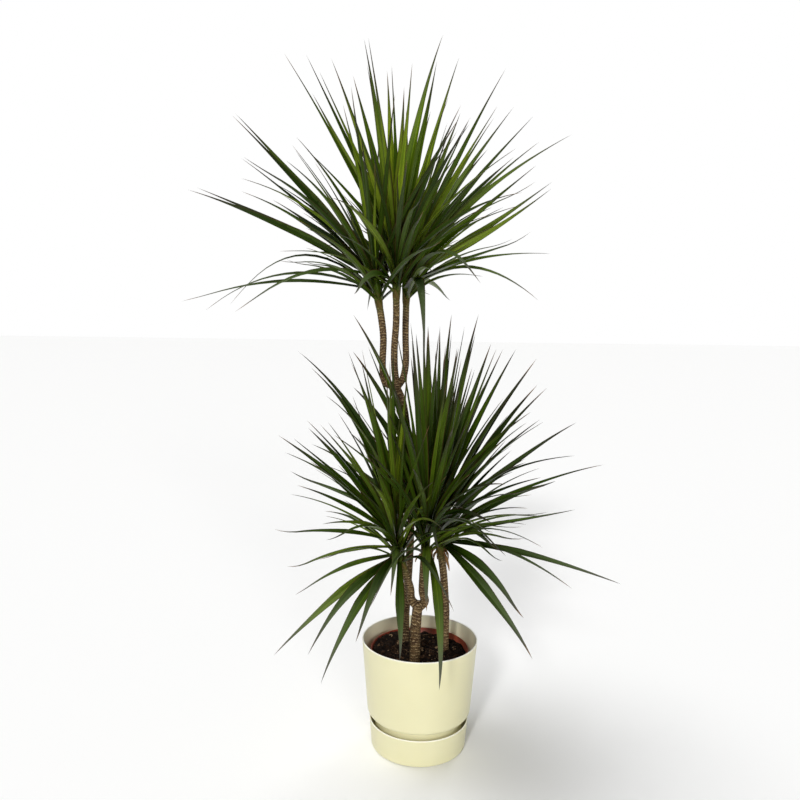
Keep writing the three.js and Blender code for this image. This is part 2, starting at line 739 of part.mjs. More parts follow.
// Places the blades of every head in turn; one that would meet a cane or another head's blade is bent clear.
function placeBlades() {
  const placed = {};
  const sheaths = {};
  const names = Object.keys(HEADS);
  for (const name of names) {
    placed[name] = [];
    const foot = vec(HEADS[name].foot);
    const axis = vec(HEADS[name].axis).normalize();
    const to = foot.clone().addScaledVector(axis, SHEATH.guardLength);
    sheaths[name] = { from: foot, to, radius: SHEATH.guardRadius };
  }
  const queues = names.map((name) => wantedBlades(HEADS[name]));
  for (let i = 0; i < BLADES_PER_HEAD; i += 1) {
    for (const [n, name] of names.entries()) {
      const blade = queues[n][i];
      const others = names.filter((other) => other !== name);
      const strangers = others.flatMap((other) => placed[other]);
      const obstacles = [...capsules, ...others.map((other) => sheaths[other])];
      for (let attempt = 0; attempt < ATTEMPTS; attempt += 1) {
        const step = (attempt % 2 ? 1 : -1) * Math.ceil(attempt / 2);
        const tip = blade.tip.clone().add(blade.nudge(step));
        const stations = bladeStations({ ...blade, tip, root: bladeRoot(HEADS[name], tip) });
        if (clearOfAll(stations, obstacles, strangers, placed[name])) {
          placed[name].push(stations);
          break;
        }
      }
    }
  }
  return placed;
}

// The sheath that a head's blades grow from.
function sheathGeometry(head) {
  const foot = vec(head.foot);
  const axis = vec(head.axis).normalize();
  const { length, radius, sides } = SHEATH;
  const stations = radius.map((r, i) => ({
    point: foot.clone().addScaledVector(axis, SEAT + (length * i) / (radius.length - 1)),
    radius: r,
  }));
  return tube(stations, sides);
}

// ---- the plant ----------------------------------------------------------------------------------------------

const cream = () => material(COLOURS.planter, 0.38);
const bark = () => material(COLOURS.cane, 0.85);
const green = () => material(COLOURS.leaf, 0.42);

const tall = makeCane(CANES.tall, [BRANCHES.topLeft, BRANCHES.topMiddle, BRANCHES.topRight]);
const forked = makeCane(CANES.forked, [BRANCHES.lowLeft, BRANCHES.lowMiddle]);
const right = makeCane(CANES.right, []);

addPiece('saucer', makeSaucer(), cream());
addPiece('planter', makePlanter(), cream());
addPiece('nursery_pot', makeNursery(), material(COLOURS.nursery, 0.55));
addPiece('soil', makeSoil([tall.hole, forked.hole, right.hole]), material(COLOURS.soil, 0.95));
addPiece('cane_tall', tall.geometry, bark());
addPiece('cane_forked', forked.geometry, bark());
addPiece('cane_right', right.geometry, bark());

const blades = placeBlades();
for (const [name, head] of Object.entries(HEADS)) {
  const solids = [solidFrom(sheathGeometry(head))];
  for (const stations of blades[name]) {
    solids.push(solidFrom(bladeGeometry(stations)));
  }
  addPiece(`head_${name}`, geometryOf(outerShell(joinAll(solids))), green());
}

export default plant;
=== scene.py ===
import math
import bpy
import numpy as np
from mathutils import Matrix


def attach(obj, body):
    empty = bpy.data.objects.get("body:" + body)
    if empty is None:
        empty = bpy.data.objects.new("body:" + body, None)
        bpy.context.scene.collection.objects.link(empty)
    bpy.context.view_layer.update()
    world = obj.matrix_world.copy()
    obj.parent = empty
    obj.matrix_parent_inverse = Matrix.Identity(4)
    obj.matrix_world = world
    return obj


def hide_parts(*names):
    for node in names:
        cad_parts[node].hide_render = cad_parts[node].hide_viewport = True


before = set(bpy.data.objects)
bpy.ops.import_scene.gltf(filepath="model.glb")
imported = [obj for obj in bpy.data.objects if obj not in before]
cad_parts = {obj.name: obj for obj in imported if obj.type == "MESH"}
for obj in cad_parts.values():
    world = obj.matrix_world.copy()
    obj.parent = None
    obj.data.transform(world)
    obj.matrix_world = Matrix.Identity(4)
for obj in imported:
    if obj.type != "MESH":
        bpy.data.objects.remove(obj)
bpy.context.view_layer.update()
mm = 0.001  # every length below is in millimetres, meshes are made in metres
print("frame loaded")

cameraView = {
    "place": (-0.0489, -1.4932, 0.8847),  # metres
    "tilt": 84.513,  # degrees from looking straight down
    "roll": 0.767,
    "lens": 32.58,
    "sensor": 36,
}


def makeCamera(plan):
    lens = bpy.data.cameras.new("photoView")
    lens.lens = plan["lens"]
    lens.sensor_width = plan["sensor"]
    camera = bpy.data.objects.new("photoView", lens)
    camera.matrix_world = (
        Matrix.Translation(plan["place"])
        @ Matrix.Rotation(math.radians(plan["tilt"]), 4, "X")
        @ Matrix.Rotation(math.radians(plan["roll"]), 4, "Z")
    )
    bpy.context.scene.collection.objects.link(camera)
    bpy.context.scene.camera = camera


makeCamera(cameraView)
print("camera placed")


def unit(vectors):
    return vectors / np.maximum(np.linalg.norm(vectors, axis=-1, keepdims=True), 1e-12)


def dots(a, b):
    return np.sum(a * b, axis=-1)


def between(ends, t):
    return ends[0] + (ends[1] - ends[0]) * t


def smoothStep(t):
    # 3t^2 - 2t^3 between 0 and 1, flat outside
    t = np.clip(t, 0, 1)
    return t * t * (3 - 2 * t)


def evenAngles(sides):
    return np.linspace(0, 2 * np.pi, sides, endpoint=False)


def tubeFaces(rows, sides):
    # quads of a tube whose points are numbered ring by ring
    i, j = np.meshgrid(np.arange(rows - 1), np.arange(sides), indexing="ij")
    k = (j + 1) % sides
    corners = [i * sides + j, i * sides + k, (i + 1) * sides + k, (i + 1) * sides + j]
    return np.stack(corners, axis=-1).reshape(-1, 4)


def tubeUv(rows, sides, rule):
    # the pattern's place at each corner of those quads, by a rule on the ring and side of corner and quad
    i, j = np.meshgrid(np.arange(rows - 1), np.arange(sides), indexing="ij")
    corners = [(i, j), (i, j + 1), (i + 1, j + 1), (i + 1, j)]
    return np.stack([np.stack(rule(*corner, i, j), axis=-1) for corner in corners], axis=2).reshape(-1, 4, 2)


def tubeEnds(rows, sides):
    # one face with many corners over either end of a tube
    ring = np.arange(sides)
    return np.stack([ring[::-1], (rows - 1) * sides + ring])


def endRings(rows, sides):
    # numbers the first and last ring of a tube, whose edges are sharp
    return np.repeat([1] + [0] * (rows - 2) + [2], sides)


def fan(middle, ring, sides):
    # triangles from a middle point to a ring that starts at a given number
    j = np.arange(sides)
    return np.stack([np.full(sides, middle), ring + j, ring + (j + 1) % sides], axis=1)


def shellFaces(rows, sides, falling=False):
    # a tube with a fan to a middle point at either end, turned over where its rings run from top to bottom
    quads = tubeFaces(rows, sides)
    first, last = fan(rows * sides, 0, sides), fan(rows * sides + 1, (rows - 1) * sides, sides)
    if falling:
        return [quads[:, ::-1], first, last[:, [0, 2, 1]]]
    return [quads, first[:, [0, 2, 1]], last]


def repeated(faces, count, each):
    # the faces of many pieces alike whose points follow one another
    return (faces[None] + (np.arange(count) * each)[:, None, None]).reshape(-1, faces.shape[1])


def merged(shapes):
    # several shapes as one, the numbers of their points moved up
    keys = shapes[0]["values"]
    starts = np.cumsum([0] + [len(shape["points"]) for shape in shapes])
    return {
        "points": np.vstack([shape["points"] for shape in shapes]),
        "faces": [faces + start for shape, start in zip(shapes, starts) for faces in shape["faces"]],
        "uv": [uv for shape in shapes for uv in shape["uv"]],
        "crease": np.concatenate([shape["crease"] for shape in shapes]),
        "values": {key: np.concatenate([shape["values"][key] for shape in shapes]) for key in keys},
    }


def flat(arrays, kind):
    # all numbers of many arrays in one run
    return np.concatenate([np.ravel(numbers) for numbers in arrays]).astype(kind)


def meshPiece(name, shape, finish, replaces=()):
    # A shape has points in mm, and faces as arrays of polygons with the same number of corners. It may have a
    # pattern place for every corner, values for every point, and creases: a number for each line of points
    # along which the surface is sharp.
    sizes = np.concatenate([np.full(len(faces), faces.shape[1]) for faces in shape["faces"]])
    mesh = bpy.data.meshes.new(name)
    mesh.vertices.add(len(shape["points"]))
    mesh.vertices.foreach_set("co", flat([shape["points"] * mm], np.float32))
    mesh.loops.add(int(sizes.sum()))
    mesh.loops.foreach_set("vertex_index", flat(shape["faces"], np.int32))
    mesh.polygons.add(len(sizes))
    mesh.polygons.foreach_set("loop_start", (np.cumsum(sizes) - sizes).astype(np.int32))
    mesh.update(calc_edges=True)
    mesh.shade_smooth()
    if "uv" in shape:
        mesh.uv_layers.new(name="surface").data.foreach_set("uv", flat(shape["uv"], np.float32))
    for key, numbers in shape.get("values", {}).items():
        mesh.attributes.new(key, "FLOAT", "POINT").data.foreach_set("value", flat([numbers], np.float32))
    if "crease" in shape:
        ends = np.zeros(len(mesh.edges) * 2, np.int32)
        mesh.edges.foreach_get("vertices", ends)
        start, end = shape["crease"][ends.reshape(-1, 2)].T
        sharp = mesh.attributes.new("sharp_edge", "BOOLEAN", "EDGE")
        sharp.data.foreach_set("value", (start == end) & (start > 0))
    mesh.validate()
    mesh.materials.append(finish)
    piece = bpy.data.objects.new(name, mesh)
    bpy.context.scene.collection.objects.link(piece)
    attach(piece, "root")
    for node in replaces:
        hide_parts(node)


class Finish:
    # a material with a short way to add and join nodes
    def __init__(self, name, settings):
        self.material = bpy.data.materials.new(name)
        self.material.use_nodes = True
        self.tree = self.material.node_tree
        for socket, value in settings.items():
            self.shade(socket, value)

    def feed(self, socket, value):
        # joins a node's output to a socket, or sets the socket's own value; colours are red, green and blue
        if isinstance(value, bpy.types.NodeSocket):
            self.tree.links.new(value, socket)
        else:
            socket.default_value = (*value, 1) if socket.type == "RGBA" else value

    def shade(self, socket, value):
        self.feed(self.tree.nodes["Principled BSDF"].inputs[socket], value)

    def node(self, kind, inputs, **settings):
        made = self.tree.nodes.new("ShaderNode" + kind)
        for key, value in settings.items():
            setattr(made, key, value)
        for key, value in inputs.items():
            self.feed(made.inputs[key], value)
        return made

    def maths(self, operation, a, b=0.0, c=0.0):
        return self.node("Math", {0: a, 1: b, 2: c}, operation=operation).outputs[0]

    def plus(self, a, b):
        return self.maths("ADD", a, b)

    def minus(self, a, b):
        return self.maths("SUBTRACT", a, b)

    def times(self, a, b):
        return self.maths("MULTIPLY", a, b)

    def timesPlus(self, a, b, c):
        return self.maths("MULTIPLY_ADD", a, b, c)

    def eased(self, value, low, high):
        # 0 below low, 1 above high, smooth between; with the two swapped it falls from 1 to 0
        limits = {"Value": value, "From Min": low, "From Max": high}
        return self.node("MapRange", limits, interpolation_type="SMOOTHSTEP").outputs["Result"]

    def ramp(self, factor, stops):
        # stops are (place, colour) or (place, grey)
        made = self.node("ValToRGB", {"Fac": factor})
        elements = made.color_ramp.elements
        while len(elements) < len(stops):
            elements.new(0.5)
        for element, (place, colour) in zip(elements, stops):
            element.position = place
            element.color = (*colour, 1) if isinstance(colour, tuple) else (colour, colour, colour, 1)
        return made.outputs["Color"]

    def blend(self, factor, a, b, kind="MIX"):
        return self.node("Mix", {0: factor, 6: a, 7: b}, data_type="RGBA", blend_type=kind).outputs[2]

    def coated(self, base, value, coat, kind="MIX"):
        # a coat is (low, high, strength, colour): it covers the base by strength times the eased value
        low, high, strength, colour = coat
        return self.blend(self.times(self.eased(value, low, high), strength), base, colour, kind)

    def objectPlace(self):
        return self.node("TexCoord", {}).outputs["Object"]

    def surfacePlace(self):
        # the piece's own pattern place, whole and as its two numbers
        surface = self.node("UVMap", {}, uv_map="surface").outputs["UV"]
        split = self.node("SeparateXYZ", {"Vector": surface}).outputs
        return surface, split["X"], split["Y"]

    def mapped(self, place, scale, shift=(0, 0, 0)):
        return self.node("Mapping", {"Vector": place, "Location": shift, "Scale": scale}).outputs["Vector"]

    def noise(self, place, scale, detail=3.0, roughness=0.5):
        inputs = {"Vector": place, "Scale": scale, "Detail": detail, "Roughness": roughness}
        return self.node("TexNoise", inputs).outputs["Fac"]

    def attribute(self, name):
        return self.node("Attribute", {}, attribute_name=name).outputs["Fac"]

    def bump(self, height, strength, distance):
        made = self.node("Bump", {"Height": height, "Strength": strength, "Distance": distance})
        self.shade("Normal", made.outputs["Normal"])


# In the finishes, each noise is (scale, detail, roughness), and each bump is (strength, depth in metres).
creamLook = {
    "glow": {"Subsurface Weight": 0.12, "Subsurface Radius": (0.006, 0.005, 0.003)},
    "clouds": (9.0, 2.0),
    "colours": [(0.3, (0.725, 0.69, 0.435)), (0.7, (0.755, 0.72, 0.46))],
    # painted light: the inner wall is drawn paler, and the lip paler still, as a painted highlight
    "inside": (0.97, 0.915, 0.665),
    "lip": (0.98, 0.96, 0.84),
    "grain": (900.0, 2.0),
    "bump": (0.12, 0.0004),
    "smears": (60.0,),
    "roughness": (0.3, 0.1),  # the least, and how much the smears add
}


def creamPlastic(look):
    finish = Finish("creamPlastic", look["glow"])
    place = finish.objectPlace()
    colour = finish.ramp(finish.noise(place, *look["clouds"]), look["colours"])
    # painted light on the inner wall and a painted highlight on the lip, by the values that turned() gives
    # each point
    paintedInsideLight = finish.blend(finish.attribute("inner"), colour, look["inside"])
    finish.shade("Base Color", finish.blend(finish.attribute("lip"), paintedInsideLight, look["lip"]))
    least, more = look["roughness"]
    finish.shade("Roughness", finish.timesPlus(finish.noise(place, *look["smears"]), more, least))
    finish.bump(finish.noise(place, *look["grain"]), *look["bump"])
    return finish.material


terracottaLook = {
    "dust": (55.0, 6.0, 0.65),
    "colours": [(0.35, (0.33, 0.062, 0.024)), (0.55, (0.27, 0.048, 0.02)), (0.75, (0.11, 0.035, 0.02))],
    "roughness": (0.32, 0.4),
    "bump": (0.2, 0.0008),
}


def terracottaPlastic(look):
    finish = Finish("terracottaPlastic", {})
    dust = finish.noise(finish.objectPlace(), *look["dust"])
    finish.shade("Base Color", finish.ramp(dust, look["colours"]))
    least, more = look["roughness"]
    finish.shade("Roughness", finish.timesPlus(dust, more, least))
    finish.bump(dust, *look["bump"])
    return finish.material


soilLook = {
    "sheen": {"Roughness": 0.95, "Specular IOR Level": 0.1},
    "crumbScale": 230.0,
    "crumbShare": 0.35,
    "clods": (90.0, 8.0, 0.7),
    "clodShare": 0.7,
    "colours": [
        (0.3, (0.002, 0.0012, 0.001)), (0.52, (0.007, 0.004, 0.0025)),
        (0.68, (0.024, 0.013, 0.007)), (0.85, (0.085, 0.05, 0.028)),
    ],
    "bump": (0.9, 0.004),
}


def pottingSoil(look):
    finish = Finish("pottingSoil", look["sheen"])
    place = finish.objectPlace()
    cells = finish.node("TexVoronoi", {"Vector": place, "Scale": look["crumbScale"]}, feature="F1")
    crumbs = finish.times(cells.outputs["Distance"], look["crumbShare"])
    tone = finish.timesPlus(finish.noise(place, *look["clods"]), look["clodShare"], crumbs)
    finish.shade("Base Color", finish.ramp(tone, look["colours"]))
    finish.bump(tone, *look["bump"])
    return finish.material


chipLook = {
    "sheen": {"Roughness": 0.85, "Specular IOR Level": 0.15},
    "grain": (300.0, 5.0, 0.6),
    "grainShare": 0.4,
    "colours": [
        (0.0, (0.004, 0.002, 0.001)), (0.5, (0.017, 0.0075, 0.0035)),
        (0.85, (0.095, 0.047, 0.022)), (1.0, (0.31, 0.21, 0.12)),
    ],
    "bump": (0.6, 0.001),
}


def chipBark(look):
    finish = Finish("chipBark", look["sheen"])
    grain = finish.noise(finish.objectPlace(), *look["grain"])
    share = look["grainShare"]
    tone = finish.plus(finish.attribute("tone"), finish.timesPlus(grain, share, -share / 2))
    finish.shade("Base Color", finish.ramp(tone, look["colours"]))
    finish.bump(grain, *look["bump"])
    return finish.material


barkLook = {
    "sheen": {"Specular IOR Level": 0.2},
    "streakScale": (30.0, 0.06, 1.0),
    "streaks": (1.0, 4.0, 0.65),
    "specks": (520.0, 5.0, 0.65),
    "blotches": (60.0, 4.0, 0.6),
    "wander": (150.0, 4.0, 0.6),
    "ragged": 1.1,  # how far the scars' edges wander, in rings
    "breaks": (210.0, 3.0),
    "breakRange": (0.42, 0.58),
    "cells": 5.0,  # patches of one shade round each ring
    "cellShift": 0.37,
    "tone": (0.55, 0.3, 0.03),  # what streaks and patches add to it, and what is taken off
    "old": [(0.15, (0.034, 0.017, 0.006)), (0.42, (0.110, 0.064, 0.026)), (0.7, (0.27, 0.185, 0.085))],
    "young": [(0.15, (0.030, 0.014, 0.005)), (0.42, (0.105, 0.060, 0.020)), (0.7, (0.24, 0.16, 0.062))],
    "blotchCoat": (0.45, 0.60, 0.72, (0.048, 0.022, 0.010)),
    "speckCoat": (0.53, 0.66, 0.8, (0.44, 0.31, 0.155)),
    "crest": [(0.0, 0), (0.10, 0), (0.17, 1), (0.27, 1), (0.38, 0)],  # the pale line in each ring
    "crestShare": 0.85,
    "crestColour": (0.50, 0.37, 0.195),
    "groove": [(0.0, 1), (0.08, 0.6), (0.14, 0), (0.72, 0), (0.95, 1)],  # the dark line between rings
    "grooveShare": (0.5, 0.35),
    "grooveColour": (0.024, 0.011, 0.005),
    "sprout": (0.10, 0.11, 0.02),
    "roughness": (0.55, 0.3),
    "depths": (0.4, 0.5, 0.9),  # what streaks, specks and grooves add to the bump
    "bump": (0.7, 0.0012),
}


def caneBark(look):
    # ringed bark: "phase" counts the leaf scars along the cane, "age" is 0 in young stem and 1 in old cane
    finish = Finish("caneBark", look["sheen"])
    place = finish.objectPlace()
    surface, around, _ = finish.surfacePlace()
    wander = finish.noise(place, *look["wander"])
    ragged = finish.timesPlus(wander, look["ragged"], finish.attribute("phase"))
    scar = finish.maths("FLOOR", ragged)
    shifted = finish.times(scar, look["cellShift"])
    cell = finish.maths("FLOOR", finish.timesPlus(around, look["cells"], shifted))
    patch = finish.node("CombineXYZ", {"X": scar, "Y": cell}).outputs[0]
    chance = finish.node("TexWhiteNoise", {"Vector": patch}, noise_dimensions="2D").outputs["Value"]
    streaks = finish.noise(finish.mapped(surface, look["streakScale"]), *look["streaks"])
    specks = finish.noise(place, *look["specks"])
    streaked, chanced, darker = look["tone"]
    tone = finish.plus(finish.times(streaks, streaked), finish.timesPlus(chance, chanced, -darker))
    young, old = finish.ramp(tone, look["young"]), finish.ramp(tone, look["old"])
    body = finish.blend(finish.attribute("age"), young, old)
    patched = finish.coated(body, finish.noise(place, *look["blotches"]), look["blotchCoat"])
    speckled = finish.coated(patched, specks, look["speckCoat"])
    # the pale line is broken, and the dark one is fainter where that is
    broken = finish.eased(finish.noise(place, *look["breaks"]), *look["breakRange"])
    step = finish.maths("FRACT", ragged)
    crest = finish.times(finish.ramp(step, look["crest"]), finish.times(broken, look["crestShare"]))
    crested = finish.blend(crest, speckled, look["crestColour"])
    groove = finish.ramp(step, look["groove"])
    faintest, clearer = look["grooveShare"]
    line = finish.times(groove, finish.timesPlus(broken, clearer, faintest))
    lined = finish.blend(line, crested, look["grooveColour"])
    finish.shade("Base Color", finish.blend(finish.attribute("green"), lined, look["sprout"]))
    least, more = look["roughness"]
    finish.shade("Roughness", finish.timesPlus(streaks, more, least))
    streakDepth, speckDepth, grooveDepth = look["depths"]
    raised = finish.timesPlus(streaks, streakDepth, finish.times(specks, speckDepth))
    finish.bump(finish.plus(raised, finish.times(groove, -grooveDepth)), *look["bump"])
    return finish.material


# The coats' places along a leaf are shares of its length, and across it shares of its half width.
waxLook = {
    "sheen": {"Specular IOR Level": 0.11, "Specular Tint": (0.75, 0.85, 0.5)},
    "clouds": (14.0, 3.0),
    "tone": (0.7, 0.3),  # how much the leaf's own tint and the clouds lighten it
    "young": [(0.2, (0.038, 0.080, 0.002)), (0.5, (0.090, 0.155, 0.004)), (0.8, (0.20, 0.275, 0.012))],
    "grown": [(0.18, (0.003, 0.010, 0.001)), (0.5, (0.020, 0.044, 0.001)), (0.82, (0.090, 0.138, 0.009))],
    "veinScale": (95.0, 1.2, 1.0),
    "veins": (1.0, 3.0, 0.55),
    "bandScale": (15.0, 0.5, 1.0),
    "bands": (1.0, 2.0),
    "bandRange": (0.36, 0.64),
    "bandShift": 37.0,
    "paintedShadeSide": (9.0, 0.3),
    "bandsAndPaintedShade": (0.5, 0.25),  # darkening by bands and by painted shade on one half: its most, and how much bands and lighter halves each take off
    "bandAndShadeTint": (0.3, 0.36, 0.3),
    "midribTint": (0.11, 0.03, 0.55, (2.2, 2.0, 2.2)),
    "stripeTint": (0.42, 0.68, 0.7, (3.0, 2.6, 3.0)),
    "underside": (0.055, 0.098, 0.008),
    "undersideShares": (0.22, 0.8),
    "paintedShadeCoat": (0.34, 0.05, 0.62, (0.004, 0.010, 0.001)),  # painted shade of the head's inside, darkest near the leaves' roots
    "neckCoat": (0.07, 0.01, 1.0, (0.13, 0.165, 0.03)),
    # old leaves grey towards their tips, partly in their own colour and partly as a painted sheen, more on
    # hanging ones
    "greyRange": (0.2, 0.9),
    "greyShare": (0.06, 0.66),  # on every leaf, and more on hanging ones
    "grey": (0.092, 0.128, 0.050),
    "marginCoat": (0.84, 0.97, 0.8, (0.060, 0.012, 0.012)),
    "tipRange": (0.62, 0.97, 0.9),
    "tip": (0.030, 0.020, 0.018),
    "hangingTip": (0.085, 0.078, 0.070),
    "dryRange": (0.86, 0.99),
    "dry": [(0.3, (0.09, 0.038, 0.014)), (0.6, (0.24, 0.13, 0.055))],
    "roughness": (0.24, 0.16),
    "bump": (0.35, 0.0004),
}


def waxyLeaf(look):
    # across the leaf u runs 0 to .5 on the upper side and .5 to 1 on the underside; v runs from root to tip
    finish = Finish("waxyLeaf", look["sheen"])
    surface, u, v = finish.surfacePlace()
    tint, age, hang = (finish.attribute(name) for name in ("tint", "age", "hang"))
    aside = finish.minus(finish.maths("FRACT", finish.times(u, 2.0)), 0.5)
    offCentre = finish.times(finish.maths("ABSOLUTE", aside), 2.0)
    clouds = finish.noise(finish.objectPlace(), *look["clouds"])
    own, cloudy = look["tone"]
    tone = finish.timesPlus(tint, own, finish.times(clouds, cloudy))
    green = finish.blend(age, finish.ramp(tone, look["young"]), finish.ramp(tone, look["grown"]))
    # long bands, elsewhere on each leaf, and painted shade on one half, by a side that its tint picks,
    # standing in for the fold's shading
    shift = finish.node("CombineXYZ", {"Z": finish.times(tint, look["bandShift"])}).outputs[0]
    banding = finish.noise(finish.mapped(surface, look["bandScale"], shift), *look["bands"])
    bands = finish.eased(banding, *look["bandRange"])
    mixing, leftShare = look["paintedShadeSide"]
    paintedShadeSide = finish.minus(finish.maths("FRACT", finish.times(tint, mixing)), leftShare)
    # painted shade: the half that this picks is drawn lighter, the other darker
    half = finish.maths("GREATER_THAN", finish.times(aside, paintedShadeSide), 0.0)
    deepest, lighter = look["bandsAndPaintedShade"]
    bandsAndPaintedShade = finish.timesPlus(bands, -lighter, finish.timesPlus(half, -lighter, deepest))
    bandedAndShaded = finish.blend(bandsAndPaintedShade, green, look["bandAndShadeTint"], "MULTIPLY")
    ribbed = finish.coated(bandedAndShaded, offCentre, look["midribTint"], "MULTIPLY")
    veins = finish.noise(finish.mapped(surface, look["veinScale"]), *look["veins"])
    striped = finish.coated(ribbed, veins, look["stripeTint"], "MULTIPLY")
    colouring, covering = look["undersideShares"]
    back = finish.blend(colouring, striped, look["underside"])
    sided = finish.blend(finish.times(finish.maths("GREATER_THAN", u, 0.5), covering), striped, back)
    # painted shade darkens each leaf from its root to about a third of its length, most at the root; then its
    # neck is paler
    shadedAndNecked = finish.coated(finish.coated(sided, v, look["paintedShadeCoat"]), v, look["neckCoat"])
    # grey towards the tips: partly the old leaves' own colour, partly a painted sheen
    always, hanging = look["greyShare"]
    outer = finish.times(finish.eased(v, *look["greyRange"]), finish.timesPlus(hang, hanging, always))
    greyedAndSheened = finish.blend(outer, shadedAndNecked, look["grey"])
    margined = finish.coated(greyedAndSheened, offCentre, look["marginCoat"])
    tip = finish.blend(hang, look["tip"], look["hangingTip"])
    tipped = finish.coated(margined, v, (*look["tipRange"], tip))
    ended = finish.times(finish.eased(v, *look["dryRange"]), finish.attribute("dryness"))
    withered = finish.maths("MAXIMUM", ended, finish.attribute("withered"))
    finish.shade("Base Color", finish.blend(withered, tipped, finish.ramp(veins, look["dry"])))
    least, more = look["roughness"]
    finish.shade("Roughness", finish.timesPlus(veins, more, least))
    finish.bump(veins, *look["bump"])
    return finish.material


creamFinish = creamPlastic(creamLook)
terracottaFinish = terracottaPlastic(terracottaLook)
soilFinish = pottingSoil(soilLook)
chipFinish = chipBark(chipLook)
barkFinish = caneBark(barkLook)
leafFinish = waxyLeaf(waxLook)
print("finishes made")

# The pots are profiles of [radius, height] points turned about the upright axis.
seat = 0.3  # clearance between pieces that stand in or on each other
turning = {
    "sides": 160,
    "longRun": 14,  # a longer straight run has more points near both ends, these distances from them
    "holds": (2.2, 4.6),
    # over this height the lip's painted highlight fades
    "lipHighlightFade": 1.7,
}
saucerPlan = {
    "rimRadius": 105.6,
    "height": 59.9,
    "footRadius": 96,
    "flatRadius": 92.8,
    "flatEdge": 0.4,
    "footLift": 0.6,
    "corner": 5,
    "wall": 2.2,
    "floor": 2.8,
    "insideCorner": 3.8,
}
planterPlan = {
    "rimRadius": 122.5,
    "rimHeight": 233,
    "waistRadius": 110.2,
    "waistHeight": 83,
    "shoulder": 12,
    "footRadius": 92.5,
    "footEdge": 1.4,
    "neck": 2,  # how far the neck ends below the shoulder
    "neckRun": 4,
    "neckEdge": 2.4,
    "neckLift": 0.8,
    "wall": 2.8,
    "flare": 1,
    "recess": 5,
    "recessSlope": 2,
}
nurseryPlan = {
    "rimRadius": 103.5,
    "height": 199.5,
    "baseRadius": 79,
    "wall": 1.8,
    "bandHeight": 13,
    "bandStep": 1.6,
    "bandTaper": 0.4,
    "bandEdge": 0.8,
    "corner": 1.5,
}

planterFoot = saucerPlan["floor"] + seat
planterFloor = planterFoot + planterPlan["recess"] + planterPlan["wall"]
nurseryFoot = planterFloor + seat
nurseryFloor = nurseryFoot + nurseryPlan["wall"]
nurseryRim = nurseryFoot + nurseryPlan["height"]


def arc(cx, cy, radius, start, end, count):
    # points of a circle's arc, angles in degrees
    angles = np.radians(np.linspace(start, end, count + 1))
    return np.stack([cx + radius * np.cos(angles), cy + radius * np.sin(angles)], axis=1)


def held(profile):
    # two more points near both ends of every long straight run keep its shading flat and the lip's painted
    # highlight narrow
    kept = [profile[0]]
    for start, end in zip(profile[:-1], profile[1:]):
        length = np.linalg.norm(end - start)
        if length > turning["longRun"]:
            near = np.array(turning["holds"]) / length
            kept += [between((start, end), share) for share in (*near, *(1 - near[::-1]))]
        kept.append(end)
    return np.array(kept)


def turned(name, profile, low, high, finish):
    # place(i, a) = (radius_i cos a, radius_i sin a, height_i), closed by a point on the axis below and above
    profile = held(np.vstack(profile))
    rows, sides = len(profile), turning["sides"]
    ring = np.stack([np.cos(evenAngles(sides)), np.sin(evenAngles(sides))], axis=1)
    height = np.repeat(profile[:, 1][:, None, None], sides, axis=1)
    points = np.concatenate([profile[:, None, 0:1] * ring[None], height], axis=2).reshape(-1, 3)
    points = np.vstack([points, [[0, 0, low], [0, 0, high]]])
    # painted light: the lip is drawn paler as a painted highlight, and the inner wall, whose rows come after
    # the lip, a little paler too
    lip = np.exp(-((points[:, 2] - points[:, 2].max()) / turning["lipHighlightFade"]) ** 2)
    inner = np.arange(len(points)) // sides > np.argmax(points[:, 2]) // sides
    shape = {"points": points, "faces": shellFaces(rows, sides), "values": {"lip": lip, "inner": inner}}
    meshPiece(name, shape, finish, [name])


def nurseryRadius(height):
    # outer radius of the nursery pot's tapering side
    share = (height - nurseryFoot) / nurseryPlan["height"]
    return between((nurseryPlan["baseRadius"], nurseryPlan["rimRadius"] - nurseryPlan["bandStep"]), share)


def makeSaucer(plan):
    foot, inside, lip = plan["footRadius"], plan["insideCorner"], plan["wall"] / 2
    profile = [
        arc(plan["flatRadius"], plan["flatEdge"], plan["flatEdge"], -90, -60, 2),
        arc(foot, plan["corner"] + plan["footLift"], plan["corner"], -62, -4, 9),
        arc(plan["rimRadius"] - lip, plan["height"] - lip, lip, 0, 180, 12),
        arc(foot, plan["floor"] + inside, inside, 0, -90, 7),
    ]
    turned("saucer", profile, 0, plan["floor"], creamFinish)


def makePlanter(plan):
    wall, lip, foot = plan["wall"], plan["wall"] / 2, plan["footRadius"]
    edge, bend, shoulder, waist = plan["footEdge"], plan["neckEdge"], plan["shoulder"], plan["waistHeight"]
    neck = waist - shoulder - plan["neck"]
    neckRadius = foot + plan["flare"]
    underFloor = planterFoot + plan["recess"]
    profile = [
        [[foot - wall - plan["recessSlope"], underFloor]],
        arc(foot - edge, planterFoot + edge, edge, -120, -10, 6),
        [[foot + plan["flare"] / 2, neck / 2], [neckRadius - 0.1, neck - plan["neckRun"]]],
        arc(neckRadius + bend, neck + plan["neckLift"] - bend, bend, 176, 106, 5),
        arc(plan["waistRadius"] - shoulder, waist, shoulder, -76, -3, 14),
        arc(plan["rimRadius"] - lip, plan["rimHeight"] - lip, lip, 4, 176, 12),
        arc(plan["waistRadius"] - shoulder, waist + 0.5, shoulder - wall, -3, -75, 9),
        [[neckRadius - wall, neck + wall]],
        [[foot - wall, planterFloor]],
    ]
    turned("planter", profile, underFloor, planterFloor, creamFinish)


